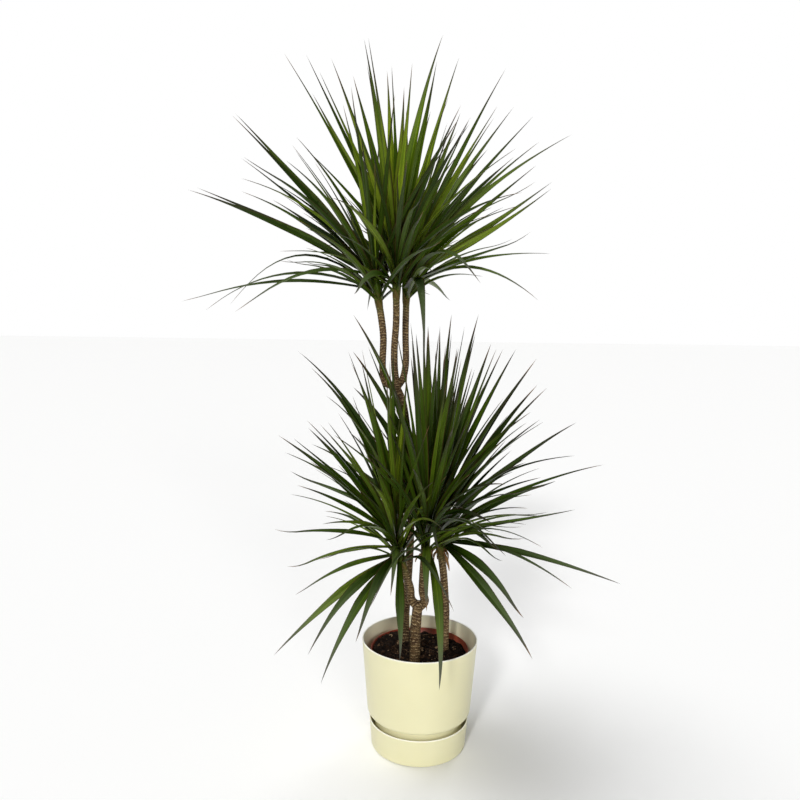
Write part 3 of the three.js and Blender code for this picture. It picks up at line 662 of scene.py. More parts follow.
def makeNursery(plan):
    wall, rim, corner, step = plan["wall"], plan["rimRadius"], plan["corner"], plan["bandStep"]
    taper, edge = plan["bandTaper"], plan["bandEdge"]
    bandFoot = nurseryRim - plan["bandHeight"]
    profile = [
        arc(plan["baseRadius"] - corner, nurseryFoot + corner, corner, -90, -6, 5),
        [[nurseryRadius(bandFoot) - 0.15, bandFoot - 1.2]],
        arc(rim - taper - edge - 0.1, bandFoot + step - 0.1, edge, -75, -4, 4),
        arc(rim - wall / 2, nurseryRim - wall / 2, wall / 2, 0, 180, 8),
        [[rim - wall - taper, bandFoot + step]],
        [[nurseryRadius(bandFoot) - wall, bandFoot - 0.4]],
        [[plan["baseRadius"] - wall, nurseryFloor]],
    ]
    turned("nursery_pot", profile, nurseryFoot, nurseryFloor, terracottaFinish)


makeSaucer(saucerPlan)
makePlanter(planterPlan)
makeNursery(nurseryPlan)
print("pots turned")

soilPlan = {
    "level": 200,
    "heap": 9,  # how much higher it lies against the pot's left and back
    "heapFrom": 10,
    "heapRun": 110,
    "grain": 2.2,
    "crumb": 1.1,  # fine unevenness, which dies out near the rim
    "crumbTo": 0.9,
    "rings": 70,
    "spokes": 200,
}
chipPlan = {
    "seed": 5,
    "count": 420,
    "rows": 4,
    "columns": 6,
    "size": (2.0, 6.5),
    "smaller": 2.2,  # the higher, the more of them are small
    "breadth": (0.35, 0.75),  # as shares of the size
    "depth": (0.22, 0.47),
    "shaken": 0.5,
    "tip": 0.5,  # radians
    "margin": 6,
    "stand": 0.3,
    "darker": 1.6,
}
fibrePlan = {
    "seed": 6,
    "count": 110,
    "stations": 11,
    "sides": 3,
    "length": (14, 46),
    "radius": (0.28, 0.58),
    "margins": (26, 3),  # from the rim, of their starts and of all their points
    "lift": (0.8, 2.2),
    "tone": (0.55, 1.0),
}
soilTopRadius = nurseryRadius(nurseryRim - nurseryPlan["bandHeight"]) - nurseryPlan["wall"] - seat
soilFootRadius = nurseryPlan["baseRadius"] - nurseryPlan["wall"] - seat


def soilHeight(x, y, plan=soilPlan):
    # a heap against the pot's left and back, with two crossing waves of coarse grain
    heap = plan["heap"] * smoothStep((0.5 * y - x - plan["heapFrom"]) / plan["heapRun"])
    grain = np.sin(0.21 * x + 1.3) * np.cos(0.17 * y - 0.4) + 0.6 * np.sin(0.33 * x + 0.29 * y)
    return plan["level"] + heap + plan["grain"] * grain


def crumble(x, y):
    # sum of sine waves in eight directions, each 1.28 times as fine and 0.8 times as high as the one before
    total = 0 * x
    for n in range(8):
        turn = 2.4 * n
        pitch = 0.45 * 1.28 ** n
        total = total + np.sin(pitch * (x * np.cos(turn) + y * np.sin(turn)) + 1.7 * n) * 0.8 ** n
    return 0.4 * total


def soilSurface(x, y, plan=soilPlan):
    edge = 1 - smoothStep((np.hypot(x, y) / soilTopRadius - plan["crumbTo"]) / (1 - plan["crumbTo"]))
    return soilHeight(x, y) + plan["crumb"] * crumble(x, y) * edge


def makeSoil(plan):
    # polar grid: place(r, a) = (r cos a, r sin a, surface height), then a tapering wall and a flat foot
    rings, angles = plan["rings"], evenAngles(plan["spokes"])
    radii = np.append(soilTopRadius * np.linspace(1 / rings, 1, rings), soilFootRadius)[:, None]
    x, y = radii * np.cos(angles), radii * np.sin(angles)
    z = soilSurface(x, y)
    z[-1] = nurseryFloor + seat
    middles = [[0, 0, soilSurface(0.0, 0.0)], [0, 0, nurseryFloor + seat]]
    points = np.vstack([np.stack([x, y, z], axis=-1).reshape(-1, 3), middles])
    faces = shellFaces(rings + 1, plan["spokes"], True)
    meshPiece("soil", {"points": points, "faces": faces}, soilFinish, ["soil"])


def scatter(count, dice, limit):
    # random places all over the soil
    radius = limit * dice.random(count) ** 0.5
    angle = 2 * np.pi * dice.random(count)
    return radius * np.cos(angle), radius * np.sin(angle)


def turnMatrices(dice, count, tip):
    # random rotations: a turn about the upright axis after a tip of up to so many radians
    heading = 2 * np.pi * dice.random(count)
    tipped = tip * (dice.random(count) - 0.5) * 2
    c, s, ct, st = np.cos(heading), np.sin(heading), np.cos(tipped), np.sin(tipped)
    return np.moveaxis(np.array([[c, -s * ct, s * st], [s, c * ct, -c * st], [0 * c, st, ct]]), 2, 0)


def makeChips(plan):
    # each chip is a squashed globe with its radius shaken, half sunk in the soil
    dice = np.random.default_rng(plan["seed"])
    count, rows, columns = plan["count"], plan["rows"], plan["columns"]
    polar = np.linspace(0, np.pi, rows + 2)[1:-1, None]
    around = evenAngles(columns)
    globe = [np.sin(polar) * np.cos(around), np.sin(polar) * np.sin(around), np.cos(polar) * np.ones(columns)]
    ball = np.vstack([np.stack(globe, axis=-1).reshape(-1, 3), [[0, 0, 1], [0, 0, -1]]])
    size = between(plan["size"], dice.random(count) ** plan["smaller"])
    breadth, depth = (size * between(plan[key], dice.random(count)) for key in ("breadth", "depth"))
    shape = np.stack([size, breadth, depth], axis=-1)
    shaken = ball[None] * (1 + plan["shaken"] * (dice.random((count, len(ball), 1)) - 0.5)) * shape[:, None]
    rotated = np.einsum("nij,npj->npi", turnMatrices(dice, count, plan["tip"]), shaken)
    x, y = scatter(count, dice, soilTopRadius - plan["margin"])
    centre = np.stack([x, y, soilSurface(x, y) + plan["stand"] * depth], axis=-1)
    quads, cap, foot = shellFaces(rows, columns, True)
    faces = [repeated(quads, count, len(ball)), repeated(np.vstack([cap, foot]), count, len(ball))]
    points = (rotated + centre[:, None]).reshape(-1, 3)
    tone = np.repeat(dice.random(count) ** plan["darker"], len(ball))
    meshPiece("barkChips", {"points": points, "faces": faces, "values": {"tone": tone}}, chipFinish)


def makeFibres(plan):
    # each fibre is a thin tube along a curling path: its heading wanders as a sum of two sines
    dice = np.random.default_rng(plan["seed"])
    count, stations, sides = plan["count"], plan["stations"], plan["sides"]
    t = np.linspace(0, 1, stations)
    step = between(plan["length"], dice.random((count, 1))) / (stations - 1)
    start, swing = 2 * np.pi * dice.random((count, 1)), 6 * dice.random((count, 1))
    heading = start + 1.6 * np.sin(2.6 * t + swing) + 0.7 * np.sin(7 * t)
    x, y = (place[:, None] for place in scatter(count, dice, soilTopRadius - plan["margins"][0]))
    x, y = x + np.cumsum(step * np.cos(heading), axis=1), y + np.cumsum(step * np.sin(heading), axis=1)
    inside = np.minimum(1, (soilTopRadius - plan["margins"][1]) / np.hypot(x, y))
    x, y = x * inside, y * inside
    lift = np.abs(np.sin(5 * t + 9 * dice.random((count, 1)))) * np.sin(np.pi * t)
    path = np.stack([x, y, soilSurface(x, y) + plan["lift"][0] + plan["lift"][1] * lift], axis=-1)
    along = unit(np.gradient(path, axis=1))
    across = unit(np.cross(along, [0, 0, 1.0]))
    back = np.cross(along, across)
    a = evenAngles(sides)[:, None]
    radius = between(plan["radius"], dice.random((count, 1))) * (1 - 0.5 * t)
    ring = across[:, :, None] * np.cos(a) + back[:, :, None] * np.sin(a)
    points = (path[:, :, None] + radius[..., None, None] * ring).reshape(-1, 3)
    each = stations * sides
    faces = [tubeFaces(stations, sides)[:, ::-1], tubeEnds(stations, sides)[:, ::-1]]
    faces = [repeated(some, count, each) for some in faces]
    tone = np.repeat(between(plan["tone"], dice.random(count)), each)
    meshPiece("soilFibres", {"points": points, "faces": faces, "values": {"tone": tone}}, chipFinish)


makeSoil(soilPlan)
makeChips(chipPlan)
makeFibres(fibrePlan)
print("soil filled in")

# Each cane's route from the soil up as points [x, y, z], its radius at both ends, and its fork's knob.
canePlan = {
    "tall": {
        "route": [
            [-31, 46, 256], [-27, 42, 330], [-22, 36, 460], [-27, 24, 620], [-42, 12, 735], [-55, 9, 768],
        ],
        "radii": [9, 6.4],
        "knob": ([-55, 8, 772], 10.5),
        "branches": [  # the stems of the left, middle and right top heads
            ([[-57, 8, 768], [-79, 1, 776], [-85, -2, 800], [-85, -4, 873], [-89, -5, 909], [-94, -6, 936]],
             [6.4, 6.6]),
            ([[-56, 8, 770], [-61, 2, 806], [-62, -5, 842], [-59, -11, 898], [-59, -15, 953]], [6.6, 6.4]),
            ([[-54, 9, 770], [-44, 20, 784], [-38, 28, 812], [-39, 34, 870], [-39, 35, 944]], [6.4, 6.4]),
        ],
    },
    "forked": {
        "route": [[-11, -45, 267], [-7, -45, 318]],
        "radii": [11, 10.4],
        "knob": ([-6, -45, 318], 11.6),
        "branches": [  # the stems of the left and middle low heads
            ([[-7, -45, 318], [-20, -46, 333], [-23, -48, 358], [-31, -50, 384], [-38, -50, 406]], [8, 7]),
            ([[-6, -45, 316], [7, -45, 328], [3, -48, 352], [3, -54, 386], [5, -60, 430]], [8.4, 7]),
        ],
    },
    "right": {
        "route": [[55, 12, 286], [51, 12, 348], [47, 12, 384], [42, 12, 416]],
        "radii": [8.4, 7.6],
        "branches": [],
    },
}
barkPlan = {
    "seed": 31,
    "sides": 36,
    "stationStep": 1.1,
    "ringSpacing": (6.8, 5.8),  # between leaf scars, on the old cane and on young stems
    "ages": ((1, 0.65), (0.55, 0.1)),  # how old their bark looks, from foot to top
    "ringRelief": 0.055,
    "ringPeak": 0.14,  # share of a ring at which its ridge is highest
    "ringFall": 0.8,
    "drift": (0.35, 17, 11),  # of the rings along the stem: rings, shortest wave, and each next one longer
    "warp": (0.22, 31, 9),  # of the rings round the stem
    "lumps": (0.02, 8, 6),
    "strength": (0.6, 0.4, 23),  # of the rings, in patches: share, change and length
    "fade": 3,  # length at either end over which rings and lumps die out
    "sprout": 11,  # length of green below a head
    "flare": (1.07, 0.2, 14),  # how much thicker a branch is, how much more at its root, and how far up
    "buried": 62,
    "collar": 12,
    "scarStep": 26,
    "scarRelief": 0.05,
    "scarDip": 0.03,
    "knobRows": 26,
    "knobWave": 0.05,
    "knobSquash": (1, 0.9, -1.12),
}
anyTurn = 6.3  # about a full turn: times a random number it starts a wave anywhere


def throughRoute(route, u):
    # centripetal Catmull-Rom curve at the shares u of its knots, with a mirrored point before and after them
    route = np.asarray(route, float)
    count = len(route)
    padded = np.vstack([2 * route[0] - route[1], route, 2 * route[-1] - route[-2]])
    place = (count - 1) * np.asarray(u, float)
    i = np.clip(np.floor(place).astype(int), 0, count - 2)
    w = (place - i)[:, None]
    p0, p1, p2, p3 = padded[i], padded[i + 1], padded[i + 2], padded[i + 3]
    d0, d1, d2 = (np.sqrt(np.linalg.norm(b - a, axis=1))[:, None] for a, b in ((p0, p1), (p1, p2), (p2, p3)))
    t1 = ((p1 - p0) / d0 - (p2 - p0) / (d0 + d1) + (p2 - p1) / d1) * d1
    t2 = ((p2 - p1) / d1 - (p3 - p1) / (d1 + d2) + (p3 - p2) / d2) * d1
    return p1 + t1 * w + (-3 * p1 + 3 * p2 - 2 * t1 - t2) * w ** 2 + (2 * p1 - 2 * p2 + t1 + t2) * w ** 3


def evenly(route, shares):
    # points of the route's curve at shares of its length, and that length
    u = np.linspace(0, 1, 201)
    steps = np.linalg.norm(np.diff(throughRoute(route, u), axis=0), axis=1)
    length = np.concatenate([[0], np.cumsum(steps)])
    return throughRoute(route, np.interp(np.asarray(shares) * length[-1], length, u)), length[-1]


def stationsOf(route, bark):
    return evenly(route, np.linspace(0, 1, int(evenly(route, [0])[1] / bark["stationStep"]) + 1))[0]


capsules = []  # what leaves keep clear of: (from, to, radius)


def addCapsules(points, radii):
    ends = zip(points[:-1], points[1:], radii[:-1], radii[1:])
    capsules.extend((start, end, max(thick, thin)) for start, end, thick, thin in ends)


def scarred(route, radii, bark):
    # the coarse stations that leaves keep clear of: high at every scar and low between
    length = evenly(route, [0])[1]
    stations = 2 * max(2, int(math.floor(length / bark["scarStep"] + 0.5)))
    number = np.arange(stations + 1)
    relief = np.where(number % 2 == 1, 1 + bark["scarRelief"], 1 - bark["scarDip"])
    relief[[0, -1]] = 1
    return evenly(route, number / stations)[0], between(radii, number / stations) * relief


def stemPart(points, along, values):
    # a tube with flat ends; its pattern runs round it from 0 to 1 and along it in mm
    rows, sides = points.shape[:2]
    uv = tubeUv(rows, sides, lambda ring, side, i, j: (side / sides, along[ring]))
    return {
        "points": points.reshape(-1, 3),
        "faces": [tubeFaces(rows, sides), tubeEnds(rows, sides)],
        "uv": [uv, np.zeros((2, sides, 2))],
        "crease": endRings(rows, sides),
        "values": {key: np.broadcast_to(numbers, (rows, sides)).ravel() for key, numbers in values.items()},
    }


def ringedTube(path, radius, bark, seed, spacing, ages, swell=None, sprouting=False):
    # skin(s, a) = path(s) + radius(s) (1 + ring + lumps) (across cos a + back sin a). The rings are saw-teeth
    # along the length s, warped by slow waves round the stem, so that each scar dips and rises on its way.
    dice = np.random.default_rng(seed)
    along = unit(np.gradient(path, axis=0))
    across = unit(np.array([1.0, 0, 0]) - along * along[:, :1])
    back = np.cross(along, across)
    s = np.concatenate([[0], np.cumsum(np.linalg.norm(np.diff(path, axis=0), axis=1))])[:, None]
    a = evenAngles(bark["sides"])[None]

    def wave(turns, length):
        return np.sin(turns * a + s / length + anyTurn * dice.random())

    (drift, driftLength, driftStep), (warp, warpLength, warpStep) = bark["drift"], bark["warp"]
    drifting = sum(drift * wave(0, driftLength + driftStep * n) for n in range(4))
    warping = sum(warp / n * wave(n, warpLength + warpStep * n) for n in (1, 2, 3))
    phase = s / spacing + drifting + warping
    tooth, peak = phase - np.floor(phase), bark["ringPeak"]
    ring = np.where(tooth < peak, tooth / peak, 1 - (tooth - peak) / (1 - peak) * bark["ringFall"]) - 0.5
    share, change, length = bark["strength"]
    strength = share + change * wave(0, length) * np.cos(a * 2 + anyTurn * dice.random())
    lump, lumpLength, lumpStep = bark["lumps"]
    lumps = sum(wave(n, lumpLength + lumpStep * n) / n for n in (1, 2, 3))
    fade = np.minimum(1, np.minimum(s, s[-1] - s) / bark["fade"])
    skin = 1 + (bark["ringRelief"] * ring * strength + lump * lumps) * fade
    if swell:
        more, most, reach = swell
        skin = skin * (more + most * np.exp(-s / reach))
    outward = across[:, None] * np.cos(a)[..., None] + back[:, None] * np.sin(a)[..., None]
    points = path[:, None] + (radius[:, None] * skin)[..., None] * outward
    green = np.exp(-(s[-1] - s) / bark["sprout"]) if sprouting else 0
    age = ages[0] + (ages[1] - ages[0]) * s / s[-1]
    return stemPart(points, s[:, 0], {"phase": phase + 40.0 * seed, "age": age, "green": green})


def knobPart(centre, size, bark, seed):
    # a swollen lump: a globe whose radius is shaken by slow waves, given as a grid from pole to pole
    dice = np.random.default_rng(seed + 50)
    polar = np.linspace(0.08, np.pi - 0.08, bark["knobRows"])[:, None]
    a = evenAngles(bark["sides"])[None]
    wave = sum(np.sin(n * a + (n + 1) * polar + anyTurn * dice.random()) / n for n in (1, 2, 3))
    radius = size * (1 + wave * bark["knobWave"] * np.sin(polar))
    globe = [radius * np.sin(polar) * np.cos(a), radius * np.sin(polar) * np.sin(a), radius * np.cos(polar)]
    points = np.stack(globe, axis=-1) * bark["knobSquash"]
    phase = points[..., 2] / 6 + 0.3 * np.sin(a) + 50.0
    return stemPart(points + centre, size * polar[:, 0], {"phase": phase, "age": 0.7, "green": 0})


def makeCane(name, plan, bark, seed):
    route, radii = plan["route"], plan["radii"]
    foot = np.array(route[0], float)
    soilTop = float(soilHeight(foot[0], foot[1]))
    collar, standing = (np.array([*foot[:2], soilTop + rise]) for rise in (bark["collar"], -bark["buried"]))
    coarse, coarseRadii = scarred(route, radii, bark)
    addCapsules([standing, collar, *coarse], [radii[0], radii[0], *coarseRadii])
    if "knob" in plan:
        centre, size = plan["knob"]
        capsules.append((np.array(centre, float), np.array(centre, float), size))
    upper = stationsOf(route, bark)
    lower = np.linspace(standing, foot, int((foot[2] - standing[2]) / bark["stationStep"]))[:-1]
    radius = np.concatenate([np.full(len(lower), float(radii[0])), np.linspace(*radii, len(upper))])
    old, young = bark["ringSpacing"]
    bare = not plan["branches"]
    parts = [ringedTube(np.vstack([lower, upper]), radius, bark, seed, old, bark["ages"][0], sprouting=bare)]
    for n, (route, radii) in enumerate(plan["branches"]):
        addCapsules(*scarred(route, radii, bark))
        path = stationsOf(route, bark)
        radius = np.linspace(*radii, len(path))
        ages = bark["ages"][1]
        parts.append(ringedTube(path, radius, bark, seed + 7 * n + 3, young, ages, bark["flare"], True))
    if "knob" in plan:
        parts.append(knobPart(*plan["knob"], bark, seed))
    meshPiece(name, merged(parts), barkFinish, [name])


for number, (name, plan) in enumerate(canePlan.items()):
    makeCane("cane_" + name, plan, barkPlan, barkPlan["seed"] + number)
print("canes grown")

leafPlan = {
    "perHead": 41,
    "fewestSteps": 4,
    "bowPerStep": 0.12,
    "width": 18.5,
    "rootShare": 0.25,
    "fullFrom": 0.22,
    "fullTo": 0.45,
    "taper": 1.6,
    "keel": 1.9,
    "sink": 4,
    "lowestRoot": 22,
    "rootRise": 65,
    "rootPower": 0.9,
    "clearances": (0.7, 0.7, 0.2),  # from canes and sheaths, from other heads' leaves and from its own
    "first": (1, 1, 2),  # the first stretch of each leaf that has to keep clear of these
    "attempts": 17,
    "eye": [-49, -1493, 885],
}
fanPlan = {"width": (0.94, 1.06), "turn": (0.55, 1.05), "shift": 18}
spiralPlan = {
    "length": (365, 425),
    "width": (0.86, 1.02),
    "turn": (-0.7, 0.7),
    "slim": (0.82, 0.28),  # how broad its leaves are shown, and how much less those towards the viewer
    "goldenAngle": 2.39996,
    "bunching": 0.35,
    "steepest": 9,
    "frontLean": 84,
    "backLean": 102,
    "leanPower": 0.8,
    "sideSteeper": 0.34,
    "sideShorter": 0.2,
    "jitter": 8,
    "shift": 0.13,
    "bow": (0.03, 0.25),
    "springs": 30,
}
sheathPlan = {
    "length": 104,
    "overlap": 5,
    "hem": 3.2,
    "radii": (9.4, 7.6, 4.2),  # above the foot, which just holds the stem
    "grip": (1.07, 0.45),
    "rows": 40,
    "sides": 24,
    "bases": 3,
    "twist": 1.3,
    "scales": (0.06, 8, 9),  # relief, turns of phase up the sheath, and how soon they start
    "hemFade": 14,
    # the leaf pattern's places given here lie in the painted shade of the head's inside, so the sheath is
    # drawn darker
    "pattern": ((0.02, 0.46), (0.09, 0.14)),  # where in the leaf pattern each base lies, as start and size
    "guardLength": 70,
    "guardRadius": 9.6,
}

# Each listed leaf is [right, up, back, bow, broad, tone]: how far its tip lies from the head's foot,
# its arch as a share of its length, how broad it is against a common leaf, and its shade, 0 for dark
# and 1 for light.
headPlan = {
    "top_left": {
        "foot": [-94, -6, 936], "axis": [-0.17, -0.02, 1], "stem": 6.6, "seed": 11,
        "fan": [
            [-295, 380, 20, 0.03], [-290, 362, -30, 0.03, 1.15], [-380, 220, -25, 0.07, 1.25],
            [-385, 240, 60, 0.04, 1.2], [-320, 330, 185, 0.05, 0.5], [-330, 265, 230, 0.08, 0.5],
            [-430, 0, 90, 0.14, 0.5], [-370, -15, 60, 0.3, 0.5], [-340, -5, 150, 0.5, 0.4],
            [-205, 210, 240, 0.06], [-250, 240, 190, 0.05], [-165, 125, 220, 0.15],
            [-155, 305, -100, 0.14], [-150, 270, -140, 0.04],
        ],
    },
    "top_middle": {
        "foot": [-59, -15, 953], "axis": [0, -0.04, 1], "stem": 6.4, "seed": 23,
        "fan": [
            [-230, 478, 20, 0.03, 0.8], [-180, 460, -20, 0.02], [-185, 430, 110, 0.03],
            [-155, 430, -20, 0.03, 1, 0.68], [-135, 465, 10, 0.03], [-120, 420, -70, 0.02],
            [-95, 450, 60, 0.02], [-70, 500, 0, 0.02, 1.2, 0.2], [-60, 490, -30, 0.02, 1.2, 0.1],
            [-25, 455, 45, 0.02], [-15, 450, 0, 0.02], [10, 380, -90, 0.03], [85, 510, 0, 0.07, 1.3, 0.45],
            [75, 470, 30, 0.0, 1.1, 0.3], [25, 445, -30, 0.02, 1, 0.7], [95, 375, -60, 0.03],
            [-80, -15, -90, 0.6], [-300, -45, -120, 0.33, 0.5],
        ],
    },
    "top_right": {
        "foot": [-39, 35, 944], "axis": [0.02, 0, 1], "stem": 6.4, "seed": 37,
        "fan": [
            [100, 490, -10, 0.05], [115, 420, 120, 0.03], [195, 470, -10, 0.03], [175, 385, -50, 0.03],
            [215, 400, 10, 0.04], [255, 380, 0, 0.04, 0.7], [280, 345, 60, 0.06, 0.7],
            [335, 345, 0, 0.11, 0.7], [235, 325, 110, 0.06], [250, 265, -80, 0.0, 1.2, 0.5],
            [300, 252, 10, -0.04, 1.2], [285, 225, -60, -0.07, 1.2], [215, 105, -240, 0.02],
            [350, 130, 250, 0.1, 0.5], [150, 330, -90, 0.03], [185, 360, 190, 0.06],
            [125, 15, -280, 0.45], [230, -5, -250, 0.35, 0.6], [34, -119, -200, 0.7, 1, 0.12],
        ],
    },
    "low_left": {
        "foot": [-38, -50, 406], "axis": [-0.3, 0, 1], "stem": 7, "seed": 41, "agedAndShaded": 0.1, "taper": 1.25,
        "fan": [
            [-215, 435, 0, 0.22], [-185, 405, -40, 0.2], [-110, 415, 0, 0.1], [-150, 355, -90, 0.25],
            [-125, 325, -110, 0.08], [-185, 310, -100, 0.06], [-210, 265, 120, 0.08], [-165, 240, 160, 0.1],
            [-250, 270, -30, 0.06], [-210, 275, -100, 0.04], [-170, 245, -170, 0.06], [-200, 190, -120, 0.08],
            [-60, 255, -180, 0.1], [-150, 125, -150, 0.16], [-245, 90, -110, 0.14, 0.6],
            [-245, -140, -120, 0.1], [-175, -120, -160, 0.2], [-155, -195, -120, 0.16],
            [-85, -90, -190, 0.3], [-245, -130, 160, 0.1], [-215, 30, -150, 0.16, 0.5],
            [-23, 0, -200, 0.5, 1, 0.6], [-5, -185, -50, 0.3],
        ],
    },
    "low_middle": {
        "foot": [5, -60, 430], "axis": [0.06, -0.1, 1], "stem": 7, "seed": 54, "agedAndShaded": 0.6, "taper": 0.95,
        "fan": [
            [-150, 485, 30, 0.12], [-125, 450, 0, 0.12], [-150, 412, 20, 0.15], [-155, 332, 120, 0.2],
            [-155, 250, 180, 0.1], [-300, 125, 180, 0.1, 0.6], [-35, 470, 0, 0.02], [-25, 450, -40, 0.02],
            [0, 465, 20, 0.02], [20, 450, -20, 0.02], [115, 110, -150, 0.3], [0, -60, -150, 0.5],
            [27, -218, -130, 0.45, 1, 0.68],
        ],
    },
    "low_right": {
        "foot": [42, 12, 416.3], "axis": [-0.16, 0, 1], "stem": 7.6, "seed": 67, "agedAndShaded": 0.7, "taper": 1.05,
        "fan": [
            [180, -180, -120, 0.1, 1.2],
            [14, 504, 10, 0.03], [39, 479, -20, 0.03], [69, 504, 0, 0.03], [99, 444, 20, 0.04],
            [119, 434, -20, 0.04], [149, 434, 0, 0.05], [194, 414, 10, 0.05], [214, 352, 100, 0.06],
            [204, 359, -60, 0.06], [179, 301, -120, 0.08], [294, 274, 60, 0.08, 0.8],
            [324, 204, -60, 0.1, 0.6], [274, 119, 150, 0.12], [179, 194, -150, 0.1],
            [269, 109, -60, 0.02, 0.5], [369, -46, -60, 0.09, 0.7],
            [244, -21, -160, 0.2, 0.5], [94, 59, -200, 0.3], [149, -81, -180, 0.22],
        ],
    },
}


def seededDice(seed):
    # numbers between 0 and 1 from a 32-bit counter that is multiplied and mixed
    mask = 0xFFFFFFFF
    state = seed & mask

    def roll():
        nonlocal state
        state = (state + 0x6D2B79F5) & mask
        mixed = ((state ^ (state >> 15)) * (1 | state)) & mask
        mixed = ((mixed + (((mixed ^ (mixed >> 7)) * (61 | mixed)) & mask)) & mask) ^ mixed
        return ((mixed ^ (mixed >> 14)) & mask) / (mask + 1)

    return roll


def footAndAxis(head):
    return np.array(head["foot"], float), unit(np.array(head["axis"], float))


def leanOf(way):
    # degrees between a way and straight up
    return math.degrees(math.acos(way[2] / np.linalg.norm(way)))


def wantedLeaves(head, plan):
    # the listed fan first, then a spiral of further leaves that fills the head from its middle outwards
    roll = seededDice(head["seed"])
    foot = footAndAxis(head)[0]
    wanted = []
    for right, up, back, bow, *rest in head["fan"]:
        broad, tone = rest + [1, math.nan][len(rest):]
        way = np.array([right, back, up], float)
        sight = unit(way + foot - np.array(plan["eye"], float))
        wanted.append({
            "tip": way + foot,
            "bow": bow,
            "full": plan["width"] * broad * between(fanPlan["width"], roll()),
            "turn": between(fanPlan["turn"], roll()) * right / math.hypot(right, back),
            "lean": leanOf(way),
            "slim": 1.0,
            "tone": tone,
            "nudge": lambda step, sight=sight: sight * fanPlan["shift"] * step,
        })
    return wanted + spiralLeaves(foot, head["seed"], plan, plan["perHead"] - len(wanted), roll, spiralPlan)


def spiralLeaves(foot, seed, plan, count, roll, rule):
    wanted = []
    for i in range(count):
        share = (i + 0.5) / count
        spiral = i * rule["goldenAngle"] + seed
        fullLength = between(rule["length"], roll())
        jitter = rule["jitter"] * (roll() - 0.5)
        turn = between(rule["turn"], roll())
        full = plan["width"] * between(rule["width"], roll())

        def wayAt(step, share=share, spiral=spiral, fullLength=fullLength, jitter=jitter):
            heading = spiral + rule["bunching"] * math.sin(2 * spiral) + rule["shift"] * step
            sideways = math.cos(heading) ** 2
            outermost = rule["frontLean"] if math.sin(heading) < 0 else rule["backLean"]
            fanned = between((rule["steepest"], outermost), share ** rule["leanPower"])
            lean = math.radians(fanned * (1 - rule["sideSteeper"] * sideways) + jitter)
            length = fullLength * (1 - rule["sideShorter"] * sideways)
            level = length * math.sin(lean)
            rise = length * math.cos(lean) + rule["springs"]
            return np.array([level * math.cos(heading), level * math.sin(heading), rise])

        way = wayAt(0)
        towards = max(0.0, -way[1]) / np.linalg.norm(way)
        wanted.append({
            "tip": way + foot,
            "bow": between(rule["bow"], share * share),
            "full": full,
            "turn": turn,
            "lean": leanOf(way),
            "slim": rule["slim"][0] - rule["slim"][1] * towards,
            "nudge": lambda step, wayAt=wayAt: wayAt(step) - wayAt(0),
        })
    return wanted


def leafRoot(head, tip, plan):
    # steep young leaves spring from the sheath's top, spreading ones from its foot
    foot, axis = footAndAxis(head)
    reachOut = tip - foot
    lean = math.acos(np.clip(np.dot(unit(reachOut), axis), -1, 1)) / (math.pi / 2)
    rise = plan["lowestRoot"] + plan["rootRise"] * max(0, min(1, 1 - lean)) ** plan["rootPower"]
    outward = unit(reachOut - axis * np.dot(reachOut, axis))
    return foot + axis * rise + outward * plan["sink"]


def leafWidth(t, full, plan):
    # a neck that opens to the full width, and a taper with x running from fullTo to the tip: 1 - x^taper
    opening = plan["rootShare"] + (1 - plan["rootShare"]) * smoothStep(t / plan["fullFrom"])
    return full * opening * (1 - np.clip((t - plan["fullTo"]) / (1 - plan["fullTo"]), 0, 1) ** plan["taper"])


def leafCurve(root, tip, bow, turn, t):
    # quadratic arch: (1-t)^2 root + 2t(1-t) middle + t^2 tip, the middle lifted by bow times the chord
    chord = tip - root
    heading = np.arctan2(chord[..., 1], chord[..., 0])
    across = np.stack([-np.sin(heading), np.cos(heading), np.zeros_like(heading)], axis=-1)
    lift = np.cross(unit(chord), across)
    middle = (root + tip) / 2 + lift * (bow * np.linalg.norm(chord, axis=-1))[..., None]
    root, tip, middle, across = (p[..., None, :] for p in (root, tip, middle, across))
    t = t[..., None]
    point = root * (1 - t) ** 2 + middle * 2 * t * (1 - t) + tip * t ** 2
    along = unit((middle - root) * (1 - t) + (tip - middle) * t)
    face = np.cross(along, across)
    side = across * np.cos(turn)[..., None] + face * np.sin(turn)[..., None]
    return point, side, np.cross(along, side)


def stretchesOf(leaf, plan):
    # the leaf's path in a few straight stretches
    steps = plan["fewestSteps"] + min(2, math.floor(leaf["bow"] / plan["bowPerStep"]))
    t = np.arange(steps + 1) / steps
    turn = np.full(steps + 1, leaf["turn"])
    point, side, face = leafCurve(leaf["root"], leaf["tip"], np.float64(leaf["bow"]), turn, t)
    return {"point": point, "side": side, "face": face, "width": leafWidth(t, leaf["full"], plan)}


def gapBetween(p1, q1, p2, q2):
    # vector between the nearest points of two straight stretches
    d1, d2, r = q1 - p1, q2 - p2, p1 - p2
    a, e = np.maximum(dots(d1, d1), 1e-9), np.maximum(dots(d2, d2), 1e-9)
    b, c, f = dots(d1, d2), dots(d1, r), dots(d2, r)
    spread = a * e - b * b
    s = np.where(spread > 1e-6, np.clip((b * f - c * e) / np.where(spread > 1e-6, spread, 1), 0, 1), 0)
    t = np.clip((b * s + f) / e, 0, 1)
    s = np.clip((b * t - c) / a, 0, 1)
    return p1 + d1 * s[..., None] - (p2 + d2 * t[..., None])


def reach(way, half, sides, faces, keel):
    # how far a flat stretch of leaf reaches along a way from its middle line, by the further of its two ends
    side, face = (np.abs(dots(way, ends)).max(axis=0) for ends in (sides, faces))
    return half * side + keel * face


